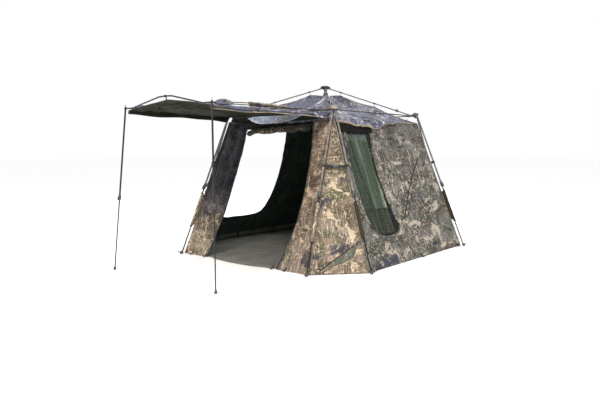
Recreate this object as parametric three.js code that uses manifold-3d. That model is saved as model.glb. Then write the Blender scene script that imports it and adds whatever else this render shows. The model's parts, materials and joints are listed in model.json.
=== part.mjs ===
// A pop up tent: a folding outside frame with a hub, four roof arms, four corner joints, eight hinged
// eave bars and eight telescopic legs, a fabric shelter hung inside it, and an awning on two poles.
// Millimetres, +Z up. The origin is the middle of the groundsheet's underside, the doorway faces -Y.

import * as THREE from "three";
import { mergeVertices } from "three/addons/utils/BufferGeometryUtils.js";
import Module from "manifold-3d";

const wasm = await Module();
wasm.setup();

// ---- Driving dimensions ----

const CORNER = 880; // half the spacing of the corner joints
const CORNER_Z = 1760; // height of the corner joints' pivots
const HUB_Z = 2123; // height of the hub's pivots
const FOOT_FAR = 1540; // a foot's distance from the middle, across its own wall
const FOOT_NEAR = 1057; // and along its own wall

const HUB_PIVOT = 45; // from the hub's axis to an arm's pivot
const JOINT_PIVOT = 32; // from a corner joint's axis to each of its pivots
const LEG_DROP = 14; // a leg's pivot below the other pivots

const TONGUE_THICKNESS = 6;
const TONGUE_RADIUS = 10;
const TONGUE_HOLE = 4;
const TONGUE_LENGTH = 34;
const EAR_GAP = 3.6; // half the slot between two ears
const EAR_THICKNESS = 4;
const PIN_RADIUS = 3;

const ARM_RADIUS = 8;
const BAR_RADIUS = 7.5;
const BAR_SIDESTEP = 9.5; // the two halves of an eave bar pass side by side at the middle
const BAR_OVERLAP = 12; // how far each half runs past the middle

const LEG_RADIUS = 11;
const LEG_BORE = 9.2;
const LEG_SPLIT = 985; // where the upper leg ends, measured from its pivot
const CLAMP_RADIUS = 16;
const CLAMP_LENGTH = 52;
const LOWER_RADIUS = 8;
const LOWER_TOP = 900; // where the lower leg begins inside the upper leg
const FOOT_RADIUS = 15;
const FOOT_HEIGHT = 26;

const CLOTH = 2; // thickness of every fabric panel
const SEAM = 2.5; // gap between neighbouring panels
const WALL_INSET = 45; // the walls hang this far inside the feet
const WALL_BASE = 4; // the walls' lower edge above the ground
const EAVE_Z = 1668;
const ROOF_EDGE = 890;
const ROOF_TOP = 2030;
const ROOF_KNEE = { out: 475, z: 1900 }; // where the roof starts to fall more steeply
const SHEET_HALF = 1440; // the groundsheet's straight edges
const SHEET_CUT = 470; // its cut corners
const SHEET_BULGE = 90; // its rounded front edge

const AWNING_HINGE = { y: -910, z: 1748 };
const AWNING_BAR = { half: 714, y: -2449, z: 1750, rise: 95, inner: 590, outer: 105 };
const AWNING_BACK_HALF = 850;
const ROD_RADIUS = 5;
const AWNING_PEAK_Z = 1808; // the canopy's ridge at the front bar
const AWNING_BACK_Z = 1722;
const AWNING_HEM = 62;
const POLE_FOOT = { x: 855, y: -2532 };
const POLE_X = 728;
const POLE_RADIUS = 9;
const POLE_BORE = 7.6;
const POLE_INNER = 6.4;
const POLE_SPLIT = 985;
const POLE_INNER_TOP = 905;

// ---- Materials ----

const steel = new THREE.MeshStandardMaterial({ color: 0x3b3d40, roughness: 0.45, metalness: 0.7 });
const plastic = new THREE.MeshStandardMaterial({ color: 0x2a2b2d, roughness: 0.6, metalness: 0 });
const camo = new THREE.MeshStandardMaterial({ color: 0x8d806a, roughness: 0.9, metalness: 0 });
const olive = new THREE.MeshStandardMaterial({ color: 0x3c4235, roughness: 0.9, metalness: 0 });
const netting = new THREE.MeshStandardMaterial({ color: 0x4c554a, roughness: 0.9, metalness: 0 });

// ---- Solids ----

const vec = (x, y, z) => new THREE.Vector3(x, y, z);
const model = new THREE.Group();

function toSolid(geometry) {
  const bare = geometry.index ? geometry.toNonIndexed() : geometry.clone();
  bare.deleteAttribute("normal");
  bare.deleteAttribute("uv");
  const merged = mergeVertices(bare, 1e-3);
  const mesh = new wasm.Mesh({
    numProp: 3,
    vertProperties: Float32Array.from(merged.attributes.position.array),
    triVerts: Uint32Array.from(merged.index.array),
  });
  return new wasm.Manifold(mesh);
}

function toGeometry(solid) {
  const mesh = solid.getMesh();
  const geometry = new THREE.BufferGeometry();
  geometry.setAttribute("position", new THREE.BufferAttribute(mesh.vertProperties, 3));
  geometry.setIndex(new THREE.BufferAttribute(mesh.triVerts, 1));
  geometry.computeVertexNormals();
  return geometry;
}

function join(solids) {
  return solids.reduce((sum, solid) => sum.add(solid));
}

function addNode(name, solid, material) {
  const mesh = new THREE.Mesh(toGeometry(solid), material);
  mesh.name = name;
  model.add(mesh);
}

// A frame whose X runs along `along` and whose Z runs along `axle`, at `origin`.
function frameAt(origin, along, axle) {
  const side = axle.clone().cross(along).normalize();
  const straight = side.clone().cross(axle).normalize();
  return new THREE.Matrix4().makeBasis(straight, side, axle.clone().normalize()).setPosition(origin);
}

// A round bar from one point to another.
function bar(from, to, radius, sides = 8) {
  const length = from.distanceTo(to);
  const geometry = new THREE.CylinderGeometry(radius, radius, length, sides);
  const turn = new THREE.Quaternion().setFromUnitVectors(vec(0, 1, 0), to.clone().sub(from).normalize());
  geometry.applyQuaternion(turn);
  geometry.translate((from.x + to.x) / 2, (from.y + to.y) / 2, (from.z + to.z) / 2);
  return toSolid(geometry);
}

// A plate with one round end centred on `pivot`, running `length` along `along`.
function roundedPlate(pivot, along, axle, length, radius, thickness, holeRadius) {
  const shape = new THREE.Shape();
  shape.moveTo(length, -radius);
  shape.lineTo(length, radius);
  shape.lineTo(0, radius);
  shape.absarc(0, 0, radius, Math.PI / 2, (3 * Math.PI) / 2, false);
  shape.closePath();
  if (holeRadius) {
    const hole = new THREE.Path();
    hole.absarc(0, 0, holeRadius, 0, 2 * Math.PI, true);
    shape.holes.push(hole);
  }
  const geometry = new THREE.ExtrudeGeometry(shape, {
    depth: thickness,
    bevelEnabled: false,
    curveSegments: 3,
  });
  geometry.translate(0, 0, -thickness / 2);
  geometry.applyMatrix4(frameAt(pivot, along, axle));
  return toSolid(geometry);
}

// The flat end of a frame tube, with the hole that its pin goes through.
function tongue(pivot, along, axle) {
  const length = TONGUE_LENGTH;
  return roundedPlate(pivot, along, axle, length, TONGUE_RADIUS, TONGUE_THICKNESS, TONGUE_HOLE);
}

// The two ears and the pin that hold a tongue. `outward` points away from the part they grow from.
function ears(pivot, outward, axle, reach) {
  const back = outward.clone().negate();
  const offset = axle.clone().setLength(EAR_GAP + EAR_THICKNESS / 2);
  const half = axle.clone().setLength(EAR_GAP + EAR_THICKNESS - 0.5);
  const near = pivot.clone().add(offset);
  const far = pivot.clone().sub(offset);
  return join([
    roundedPlate(near, back, axle, reach, TONGUE_RADIUS, EAR_THICKNESS, 0),
    roundedPlate(far, back, axle, reach, TONGUE_RADIUS, EAR_THICKNESS, 0),
    bar(pivot.clone().sub(half), pivot.clone().add(half), PIN_RADIUS, 6),
  ]);
}

// An upright cylinder around a corner joint's or the hub's own axis.
function post(centre, radius, low, high, sides) {
  return bar(vec(centre.x, centre.y, low), vec(centre.x, centre.y, high), radius, sides);
}

// A thin closed sheet: `points` are its outer face, and its inner face lies one thickness inside.
function shell(points, triangles) {
  const outer = new THREE.BufferGeometry().setFromPoints(points);
  outer.setIndex(triangles.flat());
  outer.computeVertexNormals();
  const normal = outer.attributes.normal;
  const count = points.length;
  const inner = points.map((p, i) => {
    const n = vec(normal.getX(i), normal.getY(i), normal.getZ(i));
    return p.clone().addScaledVector(n, -CLOTH);
  });
  const edges = new Map();
  for (const [a, b, c] of triangles) {
    for (const [from, to] of [[a, b], [b, c], [c, a]]) edges.set(`${from},${to}`, [from, to]);
  }
  const faces = [...triangles];
  for (const [a, b, c] of triangles) faces.push([a + count, c + count, b + count]);
  for (const [from, to] of edges.values()) {
    if (edges.has(`${to},${from}`)) continue;
    faces.push([to, from, from + count], [to, from + count, to + count]);
  }
  const closed = new THREE.BufferGeometry().setFromPoints([...points, ...inner]);
  closed.setIndex(faces.flat());
  return toSolid(closed);
}

// ---- Corners and sides ----

const CORNERS = [
  { name: "front_right", sx: 1, sy: -1 },
  { name: "back_right", sx: 1, sy: 1 },
  { name: "back_left", sx: -1, sy: 1 },
  { name: "front_left", sx: -1, sy: -1 },
];

const jointCentre = ({ sx, sy }) => vec(sx * CORNER, sy * CORNER, CORNER_Z);
const outwardOf = ({ sx, sy }) => vec(sx, sy, 0).normalize();
const tangentOf = (direction) => vec(-direction.y, direction.x, 0);

// A corner's two legs: one stands in front of or behind the tent, the other beside it.
const legFeet = ({ sx, sy }) => [
  { kind: sy < 0 ? "front" : "back", foot: vec(sx * FOOT_NEAR, sy * FOOT_FAR, 0) },
  { kind: "side", foot: vec(sx * FOOT_FAR, sy * FOOT_NEAR, 0) },
];

function legLine(corner, foot) {
  const centre = jointCentre(corner);
  const outward = vec(foot.x - centre.x, foot.y - centre.y, 0).normalize();
  const pivot = centre.clone().addScaledVector(outward, JOINT_PIVOT).setZ(CORNER_Z - LEG_DROP);
  const down = foot.clone().sub(pivot).normalize();
  return { outward, pivot, down, length: foot.distanceTo(pivot), axle: tangentOf(outward) };
}

const sampleLeg = legLine(CORNERS[1], legFeet(CORNERS[1])[0].foot);
const WALL_SLOPE = -sampleLeg.down.y / sampleLeg.down.z;
const SIDE_SLOPE = -sampleLeg.down.x / sampleLeg.down.z;
const WALL_FOOT = FOOT_FAR - WALL_INSET;
const EDGE_FOOT = FOOT_NEAR - SIDE_SLOPE * WALL_INSET;
const WALL_TOP = EAVE_Z - 6;
const edgeAt = (z) => EDGE_FOOT - SIDE_SLOPE * z;

// ---- Frame ----

function makeHub() {
  const centre = vec(0, 0, 0);
  const parts = [post(centre, 27, HUB_Z - 26, HUB_Z + 20, 12), post(centre, 20, HUB_Z + 15, HUB_Z + 34, 12)];
  for (const corner of CORNERS) {
    const outward = outwardOf(corner);
    const pivot = outward.clone().multiplyScalar(HUB_PIVOT).setZ(HUB_Z);
    parts.push(ears(pivot, outward, tangentOf(outward), HUB_PIVOT - 10));
  }
  addNode("hub", join(parts), plastic);
}

function makeArm(corner) {
  const outward = outwardOf(corner);
  const inner = outward.clone().multiplyScalar(HUB_PIVOT).setZ(HUB_Z);
  const outer = jointCentre(corner).addScaledVector(outward, -JOINT_PIVOT);
  const along = outer.clone().sub(inner).normalize();
  const axle = tangentOf(outward);
  const tube = bar(
    inner.clone().addScaledVector(along, TONGUE_LENGTH - 10),
    outer.clone().addScaledVector(along, 10 - TONGUE_LENGTH),
    ARM_RADIUS,
  );
  const solid = join([tube, tongue(inner, along, axle), tongue(outer, along.clone().negate(), axle)]);
  addNode(`roof_arm_${corner.name}`, solid, steel);
}

function makeCornerJoint(corner) {
  const centre = jointCentre(corner);
  const outward = outwardOf(corner);
  const reach = JOINT_PIVOT - 8;
  const parts = [
    post(centre, 17, CORNER_Z - 30, CORNER_Z + 16, 10),
    post(centre, 21, CORNER_Z + 14, CORNER_Z + 34, 10),
  ];
  const inwardWays = [outward.clone().negate(), vec(-corner.sx, 0, 0), vec(0, -corner.sy, 0)];
  for (const way of inwardWays) {
    const pivot = centre.clone().addScaledVector(way, JOINT_PIVOT);
    parts.push(ears(pivot, way, tangentOf(way), reach));
  }
  for (const { foot } of legFeet(corner)) {
    const leg = legLine(corner, foot);
    parts.push(ears(leg.pivot, leg.outward, leg.axle, reach));
  }
  addNode(`corner_joint_${corner.name}`, join(parts), plastic);
}

// One half of an eave bar, from its corner joint to just past the middle of its side.
function makeEaveBar(corner, alongX) {
  const way = alongX ? vec(-corner.sx, 0, 0) : vec(0, -corner.sy, 0);
  const pivot = jointCentre(corner).addScaledVector(way, JOINT_PIVOT);
  const sidestep = alongX ? vec(0, corner.sx * BAR_SIDESTEP, 0) : vec(corner.sy * BAR_SIDESTEP, 0, 0);
  const reach = CORNER - JOINT_PIVOT + BAR_OVERLAP;
  const end = pivot.clone().addScaledVector(way, reach).add(sidestep);
  const along = end.clone().sub(pivot).normalize();
  const tube = bar(pivot.clone().addScaledVector(along, TONGUE_LENGTH - 10), end, BAR_RADIUS);
  const side = alongX ? (corner.sy < 0 ? "front" : "back") : corner.sx > 0 ? "right" : "left";
  const half = alongX ? (corner.sx > 0 ? "right" : "left") : corner.sy < 0 ? "front" : "back";
  addNode(`${side}_eave_bar_${half}`, tube.add(tongue(pivot, way, tangentOf(way))), steel);
}

function makeUpperLeg(corner, kind, foot) {
  const { pivot, down, axle } = legLine(corner, foot);
  const at = (distance) => pivot.clone().addScaledVector(down, distance);
  const outside = join([
    bar(at(TONGUE_LENGTH - 10), at(LEG_SPLIT), LEG_RADIUS, 10),
    bar(at(LEG_SPLIT - CLAMP_LENGTH), at(LEG_SPLIT + 3), CLAMP_RADIUS, 10),
    tongue(pivot, down, axle),
  ]);
  const bore = bar(at(TONGUE_LENGTH + 6), at(LEG_SPLIT + 10), LEG_BORE, 10);
  addNode(`upper_leg_${corner.name}_${kind}`, outside.subtract(bore), steel);
}

function makeLowerLeg(corner, kind, foot) {
  const { pivot, down, length } = legLine(corner, foot);
  const at = (distance) => pivot.clone().addScaledVector(down, distance);
  const whole = join([
    bar(at(LOWER_TOP), at(length - 4), LOWER_RADIUS, 8),
    bar(at(length - FOOT_HEIGHT), at(length + 12), FOOT_RADIUS, 10),
  ]);
  const standing = whole.trimByPlane([0, 0, 1], 0);
  addNode(`lower_leg_${corner.name}_${kind}`, standing, steel);
}

makeHub();
for (const corner of CORNERS) {
  makeArm(corner);
  makeCornerJoint(corner);
  makeEaveBar(corner, true);
  makeEaveBar(corner, false);
  for (const { kind, foot } of legFeet(corner)) {
    makeUpperLeg(corner, kind, foot);
    makeLowerLeg(corner, kind, foot);
  }
}

// ---- Fabric ----

// Places an outline drawn as (along the wall, height) on one sloping side of the tent.
function wallPanel(shape, quarterTurns, foot, slope) {
  const geometry = new THREE.ExtrudeGeometry(shape, {
    depth: CLOTH,
    bevelEnabled: false,
    curveSegments: 5,
  });
  const lean = new THREE.Matrix4().makeBasis(vec(1, 0, 0), vec(0, slope, 1), vec(0, -1, 0));
  geometry.applyMatrix4(lean.setPosition(0, CLOTH - foot, 0));
  geometry.rotateZ((quarterTurns * Math.PI) / 2);
  return toSolid(geometry);
}

function wallNode(name, shape, quarterTurns) {
  addNode(name, wallPanel(shape, quarterTurns, WALL_FOOT, WALL_SLOPE), camo);
}

// An outline from one stretch of wall's edge to the other, straight-sided.
function plainWall(left, right) {
  const shape = new THREE.Shape();
  shape.moveTo(left(WALL_BASE), WALL_BASE);
  shape.lineTo(right(WALL_BASE), WALL_BASE);
  shape.lineTo(right(WALL_TOP), WALL_TOP);
  shape.lineTo(left(WALL_TOP), WALL_TOP);
  shape.closePath();
  return shape;
}

const leftEdge = (z) => SEAM - edgeAt(z);
const rightEdge = (z) => edgeAt(z) - SEAM;
const upright = (s) => () => s;

const DOOR = { left: -520, leftFoot: -620, leftWaist: -470, right: 596, rightFoot: 577, rightWaist: 850, head: 1572 };

// The front wall on each side of the open doorway, with half of the band over it.
function frontPanels() {
  const left = new THREE.Shape();
  left.moveTo(leftEdge(WALL_BASE), WALL_BASE);
  left.lineTo(DOOR.leftFoot, WALL_BASE);
  left.quadraticCurveTo(DOOR.leftWaist, 700, DOOR.left, DOOR.head);
  left.lineTo(-SEAM / 2, DOOR.head);
  left.lineTo(-SEAM / 2, WALL_TOP);
  left.lineTo(leftEdge(WALL_TOP), WALL_TOP);
  left.closePath();
  const right = new THREE.Shape();
  right.moveTo(rightEdge(WALL_BASE), WALL_BASE);
  right.lineTo(rightEdge(WALL_TOP), WALL_TOP);
  right.lineTo(SEAM / 2, WALL_TOP);
  right.lineTo(SEAM / 2, DOOR.head);
  right.lineTo(DOOR.right, DOOR.head);
  right.quadraticCurveTo(DOOR.rightWaist, 860, DOOR.rightFoot, WALL_BASE);
  right.closePath();
  return { left, right };
}

// The window: its outline bellies out to the front, and its lower end is round.
function windowOutline(path, grow) {
  path.moveTo(-262 + grow, 1560 + grow);
  path.lineTo(-765 - grow, 1560 + grow);
  path.quadraticCurveTo(-950 - grow, 930, -765 - grow, 455);
  path.quadraticCurveTo(-700 - grow, 322 - grow, -470, 322 - grow);
  path.quadraticCurveTo(-215 + grow, 322 - grow, -215 + grow, 440);
  path.quadraticCurveTo(-460 + grow, 1010, -262 + grow, 1560 + grow);
  return path;
}

// The side opening, with a round lower end.
function sideOpening(path) {
  path.moveTo(770, 1585);
  path.lineTo(-200, 1585);
  path.quadraticCurveTo(-345, 930, -165, 500);
  path.quadraticCurveTo(-90, 322, 150, 322);
  path.lineTo(520, 322);
  path.quadraticCurveTo(740, 322, 800, 520);
  path.quadraticCurveTo(900, 1000, 770, 1585);
  return path;
}

const RIGHT_SPLIT = -130; // along the right wall, measured towards the back

const front = frontPanels();
wallNode("front_wall_left", front.left, 0);
wallNode("front_wall_right", front.right, 0);

const windowWall = plainWall(leftEdge, upright(RIGHT_SPLIT - SEAM / 2));
windowWall.holes.push(windowOutline(new THREE.Path(), 0));
wallNode("right_wall_window", windowWall, 1);
wallNode("right_wall_rear", plainWall(upright(RIGHT_SPLIT + SEAM / 2), rightEdge), 1);
addNode(
  "window_mesh",
  wallPanel(windowOutline(new THREE.Shape(), -SEAM), 1, WALL_FOOT, WALL_SLOPE),
  netting,
);

wallNode("back_wall", plainWall(leftEdge, rightEdge), 2);

const openWall = plainWall(leftEdge, rightEdge);
openWall.holes.push(sideOpening(new THREE.Path()));
wallNode("left_wall", openWall, 3);

// The panels between the two legs of each corner are narrow triangles that face outward diagonally.
function makeCornerPanel(corner, index) {
  const outAt = (z) => (edgeAt(z) + WALL_FOOT - WALL_SLOPE * z) / Math.SQRT2;
  const halfAt = (z) => (WALL_FOOT - WALL_SLOPE * z - edgeAt(z)) / Math.SQRT2 - SEAM;
  const slope = (outAt(0) - outAt(WALL_TOP)) / WALL_TOP;
  const top = WALL_TOP - 20;
  const shape = new THREE.Shape();
  shape.moveTo(-halfAt(WALL_BASE), WALL_BASE);
  shape.lineTo(halfAt(WALL_BASE), WALL_BASE);
  shape.lineTo(halfAt(top), top);
  shape.lineTo(-halfAt(top), top);
  shape.closePath();
  const solid = wallPanel(shape, index + 0.5, outAt(0), slope);
  addNode(`corner_panel_${corner.name}`, solid, camo);
}

// A quarter of the roof: it hangs under its arm and falls to its corner and to the middle of two eaves.
function makeRoofQuarter(corner) {
  const { sx, sy } = corner;
  const gap = SEAM / 2;
  const top = vec(sx * gap, sy * gap, ROOF_TOP);
  const knee = vec(sx * ROOF_KNEE.out, sy * ROOF_KNEE.out, ROOF_KNEE.z);
  const tip = vec(sx * ROOF_EDGE, sy * ROOF_EDGE, EAVE_Z);
  const middleX = vec(sx * ROOF_EDGE, sy * gap, EAVE_Z);
  const middleY = vec(sx * gap, sy * ROOF_EDGE, EAVE_Z);
  const turned = sx * sy > 0;
  const face = (a, b, c) => (turned ? [a, b, c] : [a, c, b]);
  const triangles = [face(0, 3, 1), face(3, 2, 1), face(0, 1, 4), face(1, 2, 4)];
  const solid = shell([top, knee, tip, middleX, middleY], triangles);
  addNode(`roof_quarter_${corner.name}`, solid, camo);
}

CORNERS.forEach((corner, index) => {
  makeCornerPanel(corner, index);
  makeRoofQuarter(corner);
});

function makeDoorRoll() {
  const z = 1533;
  const radius = 33;
  const y = -(WALL_FOOT - WALL_SLOPE * z) - radius - 4;
  addNode("door_roll", bar(vec(-430, y, z), vec(590, y, z), radius, 10), camo);
}

// The floor, an octagon whose front edge is rounded.
function makeGroundsheet() {
  const long = SHEET_HALF;
  const short = SHEET_HALF - SHEET_CUT;
  const shape = new THREE.Shape();
  shape.moveTo(long, -short);
  shape.lineTo(long, short);
  shape.lineTo(short, long);
  shape.lineTo(-short, long);
  shape.lineTo(-long, short);
  shape.lineTo(-long, -short);
  shape.lineTo(-short, 60 - long);
  shape.quadraticCurveTo(0, -long - SHEET_BULGE, short, 60 - long);
  shape.closePath();
  const geometry = new THREE.ExtrudeGeometry(shape, {
    depth: CLOTH,
    bevelEnabled: false,
    curveSegments: 8,
  });
  addNode("groundsheet", toSolid(geometry), olive);
}

makeDoorRoll();
makeGroundsheet();

// ---- Awning ----

function makeAwningBar() {
  const { half, y, z, rise, inner, outer } = AWNING_BAR;
  const points = [];
  for (const side of [-1, 1]) {
    const run = [
      vec(side * (half - 8), y, z),
      vec(side * inner, y, z),
      vec(side * outer, y, z + rise - 3),
      vec(0, y, z + rise),
    ];
    points.push(...(side < 0 ? run : run.slice(0, 3).reverse()));
  }
  const pieces = [];
  for (let i = 1; i < points.length; i += 1) {
    const along = points[i].clone().sub(points[i - 1]).normalize();
    const start = points[i - 1].clone().addScaledVector(along, i > 1 ? -3 : 0);
    const end = points[i].clone().addScaledVector(along, i < points.length - 1 ? 3 : 0);
    pieces.push(bar(start, end, ARM_RADIUS));
  }
  for (const side of [-1, 1]) {
    pieces.push(bar(vec(side * (half - 20), y, z), vec(side * (POLE_X + 12), y, z), 4, 6));
  }
  addNode("awning_front_bar", join(pieces), steel);
}

// A straight rod under the side hem and an arched one over the canopy, on each side.
function makeAwningRods(name, side) {
  const { half, y, z } = AWNING_BAR;
  const end = y + ARM_RADIUS + 0.6;
  const straight = bar(
    vec(side * 815, AWNING_HINGE.y, AWNING_HINGE.z),
    vec(side * (half - 16), end, z - 1),
    ROD_RADIUS,
    6,
  );
  addNode(`awning_side_rod_${name}`, straight, steel);
  const archStart = vec(side * 420, AWNING_HINGE.y, AWNING_HINGE.z + 14);
  const archEnd = vec(side * (half - 50), end, z + 3);
  const crown = archStart.clone().lerp(archEnd, 0.5).add(vec(0, 0, 62));
  const curve = new THREE.QuadraticBezierCurve3(archStart, crown, archEnd);
  const section = new THREE.Shape();
  section.absarc(0, 0, ROD_RADIUS, 0, 2 * Math.PI, false);
  const arch = new THREE.ExtrudeGeometry(section, {
    steps: 10,
    extrudePath: curve,
    bevelEnabled: false,
    curveSegments: 3,
  });
  addNode(`awning_arch_rod_${name}`, toSolid(arch), steel);
}

// The canopy: a low ridge from the eave to the bar's peak, and a hem that hangs down at both sides.
function makeAwningCanopy() {
  const columns = [-1.012, -1, -0.5, 0, 0.5, 1, 1.012];
  const rows = [0, 0.33, 0.66, 1];
  const backY = AWNING_HINGE.y - 8;
  const frontY = AWNING_BAR.y + ARM_RADIUS + 4;
  const points = [];
  for (const t of rows) {
    const half = AWNING_BACK_HALF + (AWNING_BAR.half - 22 - AWNING_BACK_HALF) * t;
    const ridge = AWNING_BACK_Z + (AWNING_PEAK_Z - AWNING_BACK_Z) * t;
    const side = AWNING_BACK_Z + 4 * t;
    for (const u of columns) {
      const hem = Math.abs(u) > 1 ? AWNING_HEM : 0;
      const lean = Math.min(Math.abs(u), 1);
      points.push(vec(half * u, backY + (frontY - backY) * t, ridge + (side - ridge) * lean - hem));
    }
  }
  const triangles = [];
  const width = columns.length;
  for (let row = 0; row + 1 < rows.length; row += 1) {
    for (let column = 0; column + 1 < width; column += 1) {
      const a = row * width + column;
      triangles.push([a, a + width, a + 1], [a + 1, a + width, a + width + 1]);
    }
  }
  addNode("awning_canopy", shell(points, triangles), camo);
}

function makeAwningPole(name, side) {
  const pivot = vec(side * POLE_X, AWNING_BAR.y, AWNING_BAR.z);
  const foot = vec(side * POLE_FOOT.x, POLE_FOOT.y, 0);
  const down = foot.clone().sub(pivot).normalize();
  const length = foot.distanceTo(pivot);
  const at = (distance) => pivot.clone().addScaledVector(down, distance);
  const across = vec(1, 0, 0);
  const ringHalf = across.clone().multiplyScalar(7);
  const outside = join([
    bar(pivot.clone().sub(ringHalf), pivot.clone().add(ringHalf), 13, 10),
    bar(at(8), at(POLE_SPLIT), POLE_RADIUS, 10),
    bar(at(POLE_SPLIT - 44), at(POLE_SPLIT + 3), 13, 10),
    bar(at(-10), at(-38), 3, 6),
  ]);
  const pinHole = bar(
    pivot.clone().addScaledVector(across, -20),
    pivot.clone().addScaledVector(across, 20),
    5.2,
    6,
  );
  const bore = bar(at(26), at(POLE_SPLIT + 10), POLE_BORE, 10);
  addNode(`awning_pole_${name}_upper`, outside.subtract(pinHole).subtract(bore), steel);
  const inside = join([
    bar(at(POLE_INNER_TOP), at(length - 4), POLE_INNER, 8),
    bar(at(length - 22), at(length + 6), 12, 8),
  ]);
  addNode(`awning_pole_${name}_lower`, inside.trimByPlane([0, 0, 1], 0), steel);
}

makeAwningBar();
makeAwningCanopy();
for (const [name, side] of [["right", 1], ["left", -1]]) {
  makeAwningRods(name, side);
  makeAwningPole(name, side);
}

export default model;
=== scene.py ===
"""A pop up tent in cloth, webbing and metal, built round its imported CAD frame. Metres, +Z up."""

import json
import math
import random
from collections import namedtuple

import bpy
from mathutils import Matrix, Vector, kdtree, noise
from mathutils.geometry import delaunay_2d_cdt


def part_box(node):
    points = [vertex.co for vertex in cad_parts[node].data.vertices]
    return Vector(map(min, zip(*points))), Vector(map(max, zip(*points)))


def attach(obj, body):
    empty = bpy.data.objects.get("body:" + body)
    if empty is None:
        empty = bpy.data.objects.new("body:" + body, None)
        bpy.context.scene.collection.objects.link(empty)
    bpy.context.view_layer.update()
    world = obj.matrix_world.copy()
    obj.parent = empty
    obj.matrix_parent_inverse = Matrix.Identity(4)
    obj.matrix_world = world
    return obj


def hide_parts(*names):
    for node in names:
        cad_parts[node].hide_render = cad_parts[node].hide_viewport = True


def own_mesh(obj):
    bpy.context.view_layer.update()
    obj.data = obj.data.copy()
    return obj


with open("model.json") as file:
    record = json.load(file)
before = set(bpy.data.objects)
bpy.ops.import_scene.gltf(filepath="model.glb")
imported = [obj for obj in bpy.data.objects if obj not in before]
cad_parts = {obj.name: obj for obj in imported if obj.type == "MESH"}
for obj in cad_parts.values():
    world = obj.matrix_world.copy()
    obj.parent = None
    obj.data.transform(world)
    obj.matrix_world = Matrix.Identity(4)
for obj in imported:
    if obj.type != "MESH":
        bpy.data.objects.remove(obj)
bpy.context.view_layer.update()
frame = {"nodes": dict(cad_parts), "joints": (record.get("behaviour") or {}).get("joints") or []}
scene = bpy.context.scene
rng = random.Random(11)

X, Y, UP = Vector((1, 0, 0)), Vector((0, 1, 0)), Vector((0, 0, 1))
JOINTS = {joint["name"]: joint for joint in frame["joints"]}


# ---- Camera, world and light ----

CAMERA_PLACE = (4.9768, -5.7882, 1.3314)
CAMERA_TURN = math.radians(-36.454)  # from straight along +Y
CAMERA_TILT = math.radians(-2.2256)
CAMERA_ROLL = math.radians(-0.054)
CAMERA_LENS = 33.70
CAMERA_SHIFT = (-0.112, -0.0516)
SENSOR_WIDTH = 36


def stand(name, data, place, way, roll=0.0):
    """An object that stands at a place and looks along a way."""
    made = bpy.data.objects.new(name, data)
    turn = way.to_track_quat("-Z", "Y").to_matrix() @ Matrix.Rotation(roll, 3, "Z")
    made.matrix_world = Matrix.Translation(place) @ turn.to_4x4()
    scene.collection.objects.link(made)
    return made


def add_camera():
    data = bpy.data.cameras.new("camera")
    data.lens = CAMERA_LENS
    data.sensor_width = SENSOR_WIDTH
    data.shift_x, data.shift_y = CAMERA_SHIFT
    level = math.cos(CAMERA_TILT)
    way = (math.sin(CAMERA_TURN) * level, math.cos(CAMERA_TURN) * level, math.sin(CAMERA_TILT))
    scene.camera = stand("camera", data, CAMERA_PLACE, Vector(way), CAMERA_ROLL)


def add_light(name, place, target, size, power, colour):
    data = bpy.data.lights.new(name, "AREA")
    data.shape = "SQUARE"
    data.size = size
    data.energy = power
    data.color = colour
    stand(name, data, place, Vector(target) - Vector(place))


def add_world():
    world = bpy.data.worlds.new("studio")
    world.use_nodes = True
    background = world.node_tree.nodes["Background"]
    background.inputs["Color"].default_value = (1.0, 1.0, 1.0, 1.0)
    background.inputs["Strength"].default_value = 1.0
    scene.world = world


add_camera()
add_world()
add_light("key", (3.2, -7.8, 6.0), (0.3, -1.0, 0.7), 1.6, 620, (1.0, 0.90, 0.81))
add_light("fill", (7.5, -1.0, 4.5), (0.5, 0, 0.8), 4.0, 60, (0.90, 0.95, 1.0))
add_light("rear", (-4.5, 7.5, 5.0), (0, 0.6, 0.9), 2.5, 260, (1.0, 0.97, 0.93))
add_light("top", (0.5, 1.0, 8.0), (0, 0, 1.0), 4.0, 150, (1.0, 1.0, 1.0))
scene.view_settings.view_transform = "Standard"


# ---- Materials ----


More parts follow.
